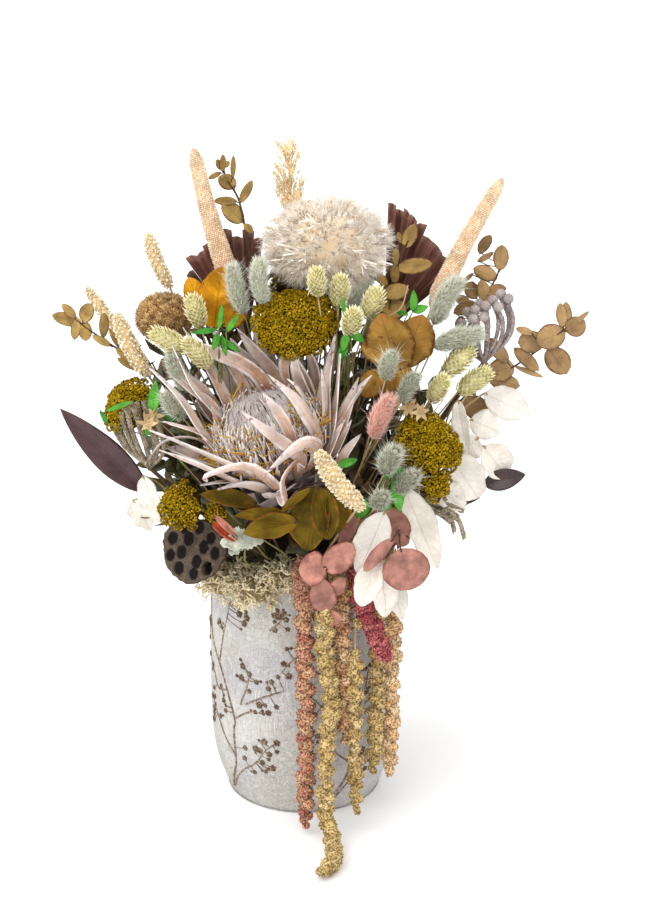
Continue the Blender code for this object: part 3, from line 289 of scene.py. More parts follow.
def bladeAlong(path, width, outline, facing, across=6, roll=0.5, twist=0, ripple=0, thick=0.6, seed=0):
    # a rolled blade laid along a path
    ahead = unit(np.gradient(path, axis=0))
    v = np.linspace(0, 1, len(path))
    out = unit(facing - (ahead @ facing)[:, None] * ahead)
    for step in range(1, len(path)):
        out[step] = unit(out[step - 1] - (out[step - 1] @ ahead[step]) * ahead[step])
    side = np.cross(ahead, out)
    spin = (twist * v)[:, None]
    side, out = side * np.cos(spin) + out * np.sin(spin), out * np.cos(spin) - side * np.sin(spin)
    u = np.linspace(-1, 1, across + 1)[None]
    half = (width / 2 * np.maximum(outline(v), 0.04))[:, None]
    turn = roll * np.abs(u) ** 1.5
    flat = np.sign(u) * (np.sin(turn) / roll) * half
    wave = np.sin(v * 16 + seeded(seed).uniform(0, 6))[:, None] * np.sign(u) * np.abs(u) ** 2
    lift = (1 - np.cos(turn)) / roll * half + ripple * width * wave
    top = path[:, None] + side[:, None] * flat[..., None] + out[:, None] * lift[..., None]
    keys = np.stack(np.broadcast_arrays(u, v[:, None], 0), axis=-1).reshape(-1, 3)
    points = np.concatenate([top.reshape(-1, 3), (top - out[:, None] * thick).reshape(-1, 3)])
    return points, sheetFaces(len(path), across + 1), np.concatenate([keys, keys])


def placed(shape, root, direction, facing):
    points, faces, keys = shape
    return points @ basisOf(np.array(direction), facing).T + np.asarray(root, float), faces, keys


def rowsOf(rows):
    # flat rows of a base, a tip and what follows
    for row in rows:
        yield np.array(row[:3], float), np.array(row[3:6], float), *row[6:]


def nodesOf(table):
    # node names have an underscore, other keys have none
    return [name for name in table if "_" in name]


# Pieces

def link(thing):
    bpy.context.scene.collection.objects.link(thing)


def makePiece(name, heap, skins, *nodes, slot):
    points = np.concatenate(heap.points) * mm
    mesh = bpy.data.meshes.new(name)
    mesh.vertices.add(len(points))
    mesh.vertices.foreach_set("co", points.astype(np.float32).ravel())
    corners = np.concatenate([group.ravel() for group in heap.faces])
    sizes = np.concatenate([np.full(len(group), group.shape[1]) for group in heap.faces])
    mesh.loops.add(len(corners))
    mesh.loops.foreach_set("vertex_index", corners.astype(np.int32))
    mesh.polygons.add(len(sizes))
    mesh.polygons.foreach_set("loop_start", np.concatenate([[0], np.cumsum(sizes)[:-1]]).astype(np.int32))
    mesh.polygons.foreach_set("material_index", np.concatenate(heap.skins).astype(np.int32))
    mesh.polygons.foreach_set("use_smooth", np.full(len(sizes), True))
    mesh.update(calc_edges=True)
    key = mesh.attributes.new("key", "FLOAT_VECTOR", "POINT")
    key.data.foreach_set("vector", np.concatenate(heap.keys).astype(np.float32).ravel())
    for skin in skins:
        mesh.materials.append(skin)
    piece = bpy.data.objects.new(name, mesh)
    link(piece)
    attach(piece, "root")
    if nodes:
        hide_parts(*nodes)


def dress(node, ending, heap, skins, slot):
    makePiece(node.replace("_", "") + ending, heap, skins, node, slot=slot)


# Looks

class Look:
    # one material and its colour so far; sizes are in millimetres
    def __init__(self, name, rough=0.85, shine=0.25, sheen=0, coat=0):
        self.material = bpy.data.materials.new(name)
        self.material.use_nodes = True
        self.tree = self.material.node_tree
        self.shader = self.tree.nodes["Principled BSDF"]
        sockets = {"Roughness": rough, "Specular IOR Level": shine, "Sheen Weight": sheen,
            "Coat Weight": coat}
        for socket, value in sockets.items():
            self.shader.inputs[socket].default_value = value
        self.shader.inputs["Sheen Roughness"].default_value = 0.6
        self.place = self.add("TexCoord", {}).outputs["Object"]
        key = self.add("Attribute", {})
        key.attribute_name = "key"
        self.key = key.outputs["Vector"]
        self.across, self.along, self.tone = self.add("SeparateXYZ", {0: self.key}).outputs
        self.span = self.calc("ABSOLUTE", self.across)
        self.colour = (0.5, 0.5, 0.5)

    def add(self, kind, sockets):
        node = self.tree.nodes.new("ShaderNode" + kind)
        for name, value in sockets.items():
            if isinstance(value, bpy.types.NodeSocket):
                self.tree.links.new(value, node.inputs[name])
            elif value is not None:
                node.inputs[name].default_value = value
        return node

    def spread(self, size, stretch=(1, 1, 1), source=None):
        scale = [(1 if source else 1000) / size / part for part in stretch]
        return self.add("Mapping", {"Vector": source or self.place, "Scale": scale}).outputs[0]

    def noise(self, size, detail=3, stretch=(1, 1, 1), source=None, warp=0):
        sockets = {"Vector": self.spread(size, stretch, source), "Scale": 1, "Detail": detail,
            "Distortion": warp}
        return self.add("TexNoise", sockets).outputs["Fac"]

    def cells(self, size):
        return self.add("TexVoronoi", {"Vector": self.spread(size), "Scale": 1}).outputs["Distance"]

    def calc(self, operation, first, second=None):
        node = self.add("Math", {0: first, 1: second})
        node.operation = operation
        return node.outputs[0]

    def times(self, first, second):
        return self.calc("MULTIPLY", first, second)

    def fit(self, value, low, high, start=0, end=1):
        sockets = {"Value": value, "From Min": low, "From Max": high, "To Min": start, "To Max": end}
        node = self.add("MapRange", sockets)
        node.interpolation_type = "SMOOTHSTEP"
        return node.outputs[0]

    def mix(self, share, first, second, blend="MIX"):
        node = self.tree.nodes.new("ShaderNodeMix")
        node.data_type = "RGBA"
        node.blend_type = blend
        for index, value in ((0, share), (6, first), (7, second)):
            if isinstance(value, bpy.types.NodeSocket):
                self.tree.links.new(value, node.inputs[index])
            else:
                node.inputs[index].default_value = value if index == 0 else (*value, 1)
        return node.outputs[2]

    def ramp(self, value, *stops):
        node = self.add("ValToRGB", {0: value})
        points = node.color_ramp.elements
        while len(points) < len(stops):
            points.new(0.5)
        for point, (place, colour) in zip(points, stops):
            point.position = place
            point.color = (*colour, 1)
        self.colour = node.outputs[0]

    def lay(self, colour, mask, share=1):
        # another colour over the last one where the mask shows it
        self.colour = self.mix(self.times(mask, share) if share < 1 else mask, self.colour, colour)

    def wear(self, size, dark=0.75, light=1.15):
        # uneven brightness in soft patches
        patch = self.fit(self.noise(size, 4), 0.3, 0.7, dark, light)
        grey = self.add("CombineColor", {0: patch, 1: patch, 2: patch}).outputs[0]
        self.colour = self.mix(1, self.colour, grey, "MULTIPLY")

    def done(self, height, depth=0.3):
        bump = self.add("Bump", {"Height": height, "Distance": depth * mm, "Strength": 1})
        self.tree.links.new(self.colour, self.shader.inputs["Base Color"])
        self.tree.links.new(bump.outputs[0], self.shader.inputs["Normal"])
        return self.material


def toneLook(name, shades, size=3, depth=0.3, dark=0.8, light=1.15, **settings):
    # grains, hairs and scales, shaded by their tone key
    look = Look(name, **settings)
    look.ramp(look.tone, *zip(np.linspace(0, 1, len(shades)), shades))
    look.wear(size * 7, dark, light)
    return look.done(look.noise(size, 4), depth)


def leafLook(name, face, edge, vein, tip=None, patches=9, rib=0.1, veins=9, depth=0.35, edgeStart=0.75,
        dark=0.65, light=1.25, lines=0.5, **settings):
    # a dried leaf with its midrib, side veins, rim and tip
    look = Look(name, **settings)
    look.colour = face[0]
    look.lay(face[1], look.fit(look.noise(patches, 5, warp=1), 0.35, 0.68))
    look.lay(face[2], look.tone)
    rim = look.calc("ADD", look.span, look.fit(look.noise(4, 3), 0.2, 0.8, -0.12, 0.12))
    look.lay(edge, look.fit(rim, edgeStart, 1))
    if tip:
        look.lay(tip, look.fit(look.along, 0.7, 1))
    slant = look.calc("SUBTRACT", look.times(look.along, veins), look.times(look.span, 1.6))
    branch = look.calc("ABSOLUTE", look.calc("SUBTRACT", look.calc("FRACT", slant), 0.5))
    branch = look.times(look.fit(branch, 0, 0.16, 0.8, 0), look.fit(look.span, 0.7, 1, 0.6, 0.1))
    drawn = look.calc("MAXIMUM", look.fit(look.span, rib * 0.4, rib, 1, 0), branch)
    look.lay(vein, drawn, lines)
    look.wear(patches * 1.5, dark, light)
    return look.done(look.calc("ADD", look.times(drawn, lines * 2), look.noise(1.6, 4)), depth)


def woodyLook(name, first, second):
    look = Look(name)
    grain = look.noise(2, 5, (1, 1, 6))
    look.colour = first
    look.lay(second, look.fit(grain, 0.35, 0.65))
    look.lay([part * 0.6 for part in first], look.tone)
    return look.done(grain, 0.4)


strawStem = woodyLook("strawStem", (0.42, 0.3, 0.14), (0.62, 0.47, 0.26))
darkStem = woodyLook("darkStem", (0.07, 0.04, 0.025), (0.14, 0.085, 0.05))
greenStem = woodyLook("greenStem", (0.16, 0.17, 0.05), (0.29, 0.27, 0.1))
print("stem looks made")


# Stems: from each head into the foam, towards one point inside the vase

stemWay = {"hub": (0, 0, 120), "foamTop": 261, "foamFall": 20, "foamRadius": 78.2, "ring": 73.2, "depth": 20,
    "bow": 5}


def foamEntry(point):
    reach = hypot(point[0], point[1])
    lean = atan2(reach, point[2] - 225)
    radius = stemWay["ring"] * min(1, lean / radians(72)) ** 0.8
    height = stemWay["foamTop"] - stemWay["foamFall"] * radius / stemWay["foamRadius"]
    return np.array([point[0] / reach * radius, point[1] / reach * radius, height])


def stemRun(foot, seed=0, start=None):
    # from the foam, or from a fork, up to a foot
    foot = np.asarray(foot, float)
    rng = seeded(seed)
    bow = rng.normal(size=3) * stemWay["bow"]
    if start is not None:
        start = np.asarray(start, float)
        return splinePath([start, (start + foot) / 2 + bow * 0.4, foot], 8)
    entry = foamEntry(foot)
    inner = entry + unit(np.array(stemWay["hub"]) - entry) * stemWay["depth"]
    return splinePath([inner, entry, entry + (foot - entry) * 0.5 + bow, foot], 14)


def stemShape(path, radius, tone=0.2, sides=5):
    # a little thicker at its foot, with faint joints
    t = np.linspace(0, 1, len(path))
    return tubes(path, radius * (1.15 - 0.3 * t + 0.08 * np.sin(t * 31)), sides, tone)


# Vase: matt washed clay with raised berry branches

vase = {
    "profile": [(0.5, 0.2), (65, 0.2), (69.6, 1), (71.4, 3.4), (73.6, 9.5), (77.6, 20), (81.2, 31),
        (84.6, 50), (86.2, 72), (86.5, 100), (86.2, 135), (85.5, 175), (84.7, 205), (84.3, 222), (84.3, 229),
        (83.9, 232.8), (82.8, 234.6), (81.2, 235), (79.6, 234.4), (78.7, 232.6), (78.4, 229), (78.5, 200),
        (78.5, 120), (78.5, 62), (74, 30), (66, 10), (60, 8.2), (0.5, 8)],
    "steps": 128,
    "turns": (-140, -63, 32, 122),  # degrees at which the branch repeats
    "stemRadius": 1.1,
    "twigRadius": 0.8,
    "stalkRadius": 0.55,
    "berryRadius": (2.2, 3.5),
    # degrees round from the branch's foot, and heights
    "stems": [[(-10, 11), (2, 42), (3, 79), (4, 90), (-3, 116), (-12, 138), (-23, 154), (-28, 172),
        (-30, 203)]],
    "twigs": [[(-12, 138), (-8, 165), (-3, 189), (-1, 204)], [(3, 53), (-6, 66), (-14, 81), (-24, 96)],
        [(5, 92), (13, 101), (21, 106)], [(13, 110), (26, 122), (39, 131)], [(9, 108), (14, 128), (16, 142)],
        [(-8, 12), (8, 39), (19, 52), (27, 69), (35, 79)], [(-3, 116), (-14, 112), (-20, 124)],
        [(30, 188), (36, 197), (40, 208)], [(-26, 166), (-34, 160), (-40, 150)]],
    "berries": [(11, 147), (10, 135), (16, 141), (21, 135), (16, 124), (29, 131), (31, 138), (35, 144),
        (20, 105), (23, 113), (29, 107), (34, 114), (12, 65), (20, 68), (26, 77), (34, 78), (11, 54),
        (23, 67), (29, 65), (34, 69), (24, 55), (18, 42), (31, 51), (26, 46), (-12, 179), (8, 196), (13, 200),
        (14, 195), (12, 189), (-9, 175), (33, 203), (39, 206), (40, 200), (33, 189), (41, 191), (31, 213),
        (35, 202), (-21, 107), (-10, 116), (-24, 97), (-7, 103), (-21, 87), (-5, 94), (-11, 85), (-23, 74),
        (-31, 135), (-23, 129), (-36, 148), (-41, 158), (-34, 168), (2, 206)],
}


def wallSpot(degrees, height, lift=0):
    outside = vase["profile"][1:17]
    radius = np.interp(height, [spot[1] for spot in outside], [spot[0] for spot in outside]) + lift
    angle = np.radians(degrees)
    return np.stack([np.cos(angle) * radius, np.sin(angle) * radius,
        np.broadcast_to(height, np.shape(radius))], axis=-1)


def wallRun(spots, turn, lift, count):
    line = splinePath([(angle, height, 0) for angle, height in spots], count)
    return wallSpot(line[:, 0] + turn, line[:, 1], lift)


def ceramicLook():
    look = Look("washedClay", 0.93, 0.1)
    look.colour = (0.47, 0.45, 0.405)
    look.lay((0.6, 0.585, 0.54), look.fit(look.noise(46, 5, (1, 1, 1.6)), 0.36, 0.66))
    look.lay((0.45, 0.43, 0.46), look.fit(look.noise(70, 2), 0.46, 0.62), 0.7)
    # wash in short strokes, scratches through it and bare clay
    mottle = look.fit(look.noise(3.6, 7, warp=0.8), 0.44, 0.62)
    look.lay((0.68, 0.665, 0.64), mottle, 0.45)
    upright = look.fit(look.noise(2.4, 4, (0.5, 0.5, 7), warp=0.5), 0.58, 0.64)
    crossed = look.fit(look.noise(2.8, 4, (3, 3, 0.6), warp=1.4), 0.61, 0.66)
    scratch = look.calc("MAXIMUM", upright, crossed)
    look.lay((0.78, 0.765, 0.75), scratch, 0.55)
    look.lay((0.36, 0.315, 0.26), look.fit(look.noise(17, 7, (1, 1, 0.9), warp=1.2), 0.58, 0.7), 0.4)
    look.lay((0.3, 0.24, 0.19), look.fit(look.cells(3.1), 0.05, 0.16, 1, 0), 0.35)
    height = look.calc("ADD", look.times(scratch, 0.9), look.times(mottle, 0.5))
    return look.done(look.calc("ADD", height, look.times(look.noise(7, 5), 1.4)), 0.5)


def reliefLook(name, dark, light):
    # umber on the raised branches, worn on top
    look = Look(name, 0.85, 0.2)
    look.colour = dark
    look.lay(light, look.fit(look.noise(2.6, 5), 0.42, 0.66))
    look.wear(14, 0.8, 1.2)
    return look.done(look.noise(1.2, 4), 0.3)


def makeVase():
    heap = Heap()
    profile = np.array(vase["profile"], float)
    rings = splinePath(np.column_stack([profile, np.zeros(len(profile))]), len(profile) * 2)[:, :2]
    rings[:, 0] = np.maximum(rings[:, 0], 0.4)
    rings[:, 1] = np.maximum(rings[:, 1], 0)
    heap.add(turned(rings, vase["steps"]))
    rng = seeded(5)
    lobes = turned([(1, -1.2), (1, 0.1), (0.7, 0.44), (0.1, 0.22)], 10)
    swell = 1 + 0.13 * np.cos(np.arctan2(lobes[0][:, 1], lobes[0][:, 0]) * 5)
    lobes[0][:, :2] *= swell[:, None]
    for number, turn in enumerate(vase["turns"]):
        runs = []
        for kind, radius in (("stems", vase["stemRadius"]), ("twigs", vase["twigRadius"])):
            for spots in vase[kind]:
                shifted = [(angle, height + (rng.normal() * 2.5 if number else 0)) for angle, height in spots]
                path = wallRun(shifted, turn, 0.15, 6 * len(spots))
                taper = np.linspace(1.2, 0.75, len(path))
                heap.add(tubes(path, radius * taper, 6), 2)
                runs.append(path)
        lines = np.concatenate(runs)
        berries = np.array(vase["berries"], float)
        if number:
            berries = berries + rng.normal(size=berries.shape) * (1.6, 2.2)
        spots = wallSpot(berries[:, 0] + turn, berries[:, 1], -0.1)
        sizes = rng.uniform(*vase["berryRadius"], len(spots))
        # most berries carry one or two smaller ones
        near = each(np.arange(len(spots)), 2)[rng.uniform(0, 1, 2 * len(spots)) < 0.4]
        turnBy = rng.uniform(0, tau, len(near))
        gap = sizes[near] * rng.uniform(1.5, 2.3, len(near))
        angle = berries[near, 0] + np.cos(turnBy) * gap / 1.48
        level = np.clip(berries[near, 1] + np.sin(turnBy) * gap, 6, 222)
        spots = np.concatenate([spots, wallSpot(angle + turn, level, -0.15)])
        sizes = np.concatenate([sizes, sizes[near] * rng.uniform(0.45, 0.75, len(near))])
        out = unit(spots * (1, 1, 0))
        frames = turns(np.cross(out, [0, 0, 1]), out)
        heap.add(stamped(lobes, spots, frames, np.stack([sizes, sizes, sizes * 0.8 + 1], axis=-1), 0.5), 1)
        for spot in spots:
            gap = norm(lines - spot, axis=1)
            near = lines[gap.argmin()]
            if 2.5 < gap.min() < 22:
                angles = np.degrees(np.arctan2([near[1], spot[1]], [near[0], spot[0]]))
                line = [(angles[0], near[2] - 1), (angles.mean(), (near[2] + spot[2]) / 2 - 1),
                    (angles[1], spot[2])]
                heap.add(tubes(wallRun(line, 0, 0, 5), vase["stalkRadius"], 4), 2)
    skins = [ceramicLook(), reliefLook("rubbedUmber", (0.1, 0.058, 0.034), (0.25, 0.19, 0.145)),
        reliefLook("wornUmber", (0.17, 0.11, 0.075), (0.4, 0.34, 0.28))]
    makePiece("clayVase", heap, skins, "vase", slot="ceramic")


makeVase()
print("vase done")


# Dry foam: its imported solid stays, with an open-celled look

def foamLook():
    look = Look("dryFoam", 0.97, 0.1)
    cells = look.fit(look.cells(1.4), 0.1, 0.6)
    # dark brown in the cell hollows, lighter on the ridges: painted shade in the open pores
    look.colour = (0.07, 0.055, 0.035)
    look.lay((0.19, 0.15, 0.09), cells)
    look.wear(20)
    return look.done(cells, 0.6)


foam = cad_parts["floral_foam"].data.materials
foam.clear()
foam.append(foamLook())


# Reindeer moss: lumps of forked tips round the rim

moss = {
    # start and end angle, count, lump radius
    "moss_front": (-206, -92, 10, 20),
    "moss_back": (28, 138, 8, 20),
    "forks": {"moss_front": 76, "moss_back": 42},
    "reach": (0.55, 1.18),
    "thick": 1.15,
    "shades": [(0.62, 0.44, 0.2), (0.92, 0.76, 0.46), (0.99, 0.92, 0.7)],
}


def mossLump(heap, centre, size, forks, seed):
    rng = seeded(seed)
    outward = unit([centre[0], centre[1], 12])
    points, faces, keys = ball(2)
    core = wobble(points * size * 0.7, size * 0.05, size, seed) * (1, 1, 0.8)
    heap.add((core + centre, faces, keys), 1, 0.2)
    ends = sphereSpots(forks, rng, -0.8)
    ends = unit(jitter(ends, rng, 0.12))
    length = rng.uniform(*moss["reach"], len(ends))[:, None] * size
    tips = centre + ends * length * (1, 1, 0.8)
    roots = centre + ends * size * 0.5 * (1, 1, 0.8)
    middle = jitter((tips + roots) / 2, rng, 2.4)
    heap.add(tubes(np.stack([roots, middle, tips], axis=1), np.array([1.3, 1, 0.7]) * moss["thick"], 3,
        rng.uniform(0.25, 0.7, len(tips))))
    for start, spread, step in ((tips, 4.6, 3), (middle, 5.5, 2)):
        near = each(start, step)
        way = unit(each(ends, step) * 0.8 + rng.normal(size=near.shape) * 0.75 + outward * 0.2)
        far = near + way * rng.uniform(0.6, 1.15, len(near))[:, None] * spread
        heap.add(tubes(np.stack([near, far], axis=1), np.array([0.9, 0.5]) * moss["thick"], 3,
            rng.uniform(0.5, 1, len(near))))
        twice = each(far, 2)
        way = unit(jitter(each(way, 2), rng, 0.9))
        heap.add(pointedHairs(twice, twice + way * spread * 0.6, 0.6 * moss["thick"],
            rng.uniform(0.6, 1, len(twice))))


def mossHeartLook():
    # pale curls packed behind the open tips, on a dark ground that is painted shade in the tangle
    look = Look("mossHeart", 0.97, 0.1)
    curl = look.calc("ABSOLUTE", look.calc("SUBTRACT", look.noise(2.6, 3, warp=2), 0.5))
    curl = look.fit(curl, 0, 0.07, 1, 0)
    # dark ground between the curls: painted shade
    look.colour = (0.34, 0.24, 0.1)
    look.lay((0.96, 0.8, 0.52), curl)
    look.wear(14)
    return look.done(curl, 1.2)


mossLook = toneLook("dryMoss", moss["shades"], 2, 0.3, rough=0.95)
mossHeart = mossHeartLook()
for name in nodesOf(moss):
    start, end, count, size = moss[name]
    heap = Heap()
    rng = seeded(count)
    for number in range(count):
        angle = radians(start + (end - start) * number / (count - 1))
        radius = 79 + rng.uniform(-5, 5)
        hang = 12 if name == "moss_front" and 1 < number < 8 else 0
        out = np.array([cos(angle), sin(angle)]) * (radius + hang * 0.7)
        spot = np.array([*out, 241 + rng.uniform(-4, 3) - hang])
        mossLump(heap, spot, size * rng.uniform(0.88, 1.08), moss["forks"][name], number + count)
    makePiece(name + "_tips", heap, [mossLook, mossHeart], name, slot="moss")
print("moss done")


# King protea: long silky bracts round a dome of florets

protea = {
    "seat": (-15, -88, 345),
    "axis": (-0.3, -0.24, 0.92),
    # foot, middle, tip, width, and how the tip ends: 0 plain, 1 hooked, 2 curled up
    "bracts": [(-81, -118, 381, -102, -115, 416, -127, -108, 442, 14, 0),
        (-74, -100, 398, -93, -98, 423, -109, -90, 456, 11, 0),
        (-68, -80, 406, -82, -78, 435, -101, -70, 466, 13, 0),
        (-52, -70, 415, -66, -68, 440, -78, -60, 464, 9, 0),
        (-33, -78, 420, -53, -80, 438, -83, -80, 450, 11, 1),
        (-19, -72, 421, -40, -68, 445, -56, -60, 462, 13, 0),
        (-27, -50, 428, -36, -46, 449, -42, -42, 469, 9, 0),
        (-11, -50, 425, -17, -46, 442, -18, -42, 466, 9, 0),
        (-3, -56, 430, -8, -52, 444, -10, -50, 457, 10, 1), (14, -76, 397, 5, -84, 427, -8, -100, 454, 14, 0),
        (20, -86, 383, 5, -92, 416, -4, -104, 443, 14, 1), (20, -100, 375, 20, -94, 418, 28, -82, 463, 15, 0),
        (24, -106, 380, 30, -102, 416, 32, -94, 450, 16, 0),
        (32, -100, 382, 40, -97, 405, 48, -90, 428, 12, 0),
        (24, -118, 372, 30, -118, 387, 36, -114, 398, 12, 0),
        (29, -114, 369, 36, -112, 383, 42, -108, 396, 8, 0),
        (31, -118, 357, 39, -118, 372, 50, -116, 386, 10, 0),
        (-1, -146, 376, -27, -154, 401, -50, -152, 419, 12, 0),
        (16, -128, 387, -1, -138, 422, -28, -132, 444, 13, 0),
        (-11, -142, 399, -22, -146, 419, -32, -142, 431, 12, 0),
        (-8, -80, 416, -12, -82, 426, -13, -84, 438, 11, 2),
        (14, -138, 380, -1, -150, 387, -32, -156, 363, 17, 0),
        (-33, -138, 349, -78, -138, 374, -127, -126, 393, 14, 0),
        (-54, -132, 347, -85, -136, 364, -119, -130, 377, 15, 0),
        (-21, -146, 347, -44, -158, 370, -76, -160, 365, 12, 1),
        (-33, -138, 342, -51, -148, 351, -70, -150, 349, 17, 0),
        (-13, -134, 342, -23, -146, 341, -33, -152, 346, 15, 0),
        (-4, -146, 372, -15, -158, 360, -13, -154, 341, 7, 2),
        (-59, -130, 348, -72, -140, 351, -85, -140, 349, 5, 0),
        (-75, -92, 401, -94, -86, 415, -115, -80, 430, 8, 0),
        (-82, -84, 409, -100, -80, 424, -116, -76, 442, 10, 0),
        (-82, -122, 386, -97, -122, 393, -116, -118, 398, 7, 0),
        (-86, -120, 382, -115, -118, 380, -133, -114, 358, 5, 0),
        (-43, -58, 426, -54, -54, 439, -62, -50, 450, 8, 0), (11, -62, 412, 11, -58, 426, 14, -54, 437, 9, 0),
        (-2, -66, 399, -5, -62, 412, -6, -58, 427, 9, 0)],
    # whorls at the back: count, lean of foot and tip in degrees, length
    "backBracts": [(7, (52, 10), 112), (6, (66, 34), 100), (6, (34, 0), 92)],
    "florets": 2000,
    "domeShift": (-5, 0, 5),
    "domeRadius": 52,
    "domeBase": 11,
    "domeTop": 66,
    "strips": 900,
    "styles": 520,
    "cups": 11,
}


def bractLook():
    look = Look("silkyBract", 0.66, 0.25, sheen=0.12)
    streak = look.noise(0.055, 4, (1, 14, 1), source=look.key)
    look.ramp(look.along, (0, (0.17, 0.05, 0.015)), (0.34, (0.36, 0.16, 0.085)), (0.52, (0.56, 0.34, 0.24)),
        (0.76, (0.77, 0.6, 0.51)), (1, (0.92, 0.84, 0.79)))
    silver = look.times(look.fit(streak, 0.46, 0.68), look.fit(look.along, 0.15, 0.6))
    look.lay((0.86, 0.77, 0.72), silver, 0.5)
    look.lay((0.9, 0.83, 0.79), look.times(look.fit(look.span, 0.66, 0.98), look.fit(look.along, 0.2, 0.5)))
    brown = look.times(look.fit(streak, 0.5, 0.32), look.fit(look.along, 0.75, 0.3, 0.25, 1))
    look.lay((0.36, 0.19, 0.12), brown, 0.6)
    ochre = look.times(look.fit(look.noise(6, 3), 0.52, 0.64), look.fit(look.along, 0.85, 0.45))
    look.lay((0.5, 0.22, 0.06), ochre, 0.65)
    blush = look.times(look.fit(look.noise(4.5, 3), 0.58, 0.64), look.fit(look.along, 0.8, 0.9))
    look.lay((0.38, 0.045, 0.12), blush, 0.8)
    look.lay((0.15, 0.105, 0.095), look.tone)
    look.wear(16, 0.74, 1.16)
    return look.done(streak, 0.5)


def floretLook():
    look = Look("silkyFloret", 0.7, 0.2, sheen=0.1)
    look.ramp(look.along, (0, (0.13, 0.05, 0.02)), (0.3, (0.32, 0.22, 0.18)), (0.55, (0.58, 0.5, 0.46)),
        (1, (0.86, 0.8, 0.77)))
    look.lay((0.4, 0.3, 0.26), look.tone)
    look.wear(8, 0.78, 1.2)
    return look.done(look.noise(0.8, 3), 0.2)


def domeSpots(share, turn, basis, rise=1, reach=1):
    # points on the dome: share 0 is its top, 1 its rim
    out = np.cos(turn)[:, None] * basis[0] + np.sin(turn)[:, None] * basis[1]
    high = protea["domeBase"] + (protea["domeTop"] - protea["domeBase"]) * np.cos(share * 1.5) * rise
    wide = np.sin(share * 1.5) * protea["domeRadius"] * reach
    return out * wide[:, None] + basis[2] * high[:, None], out


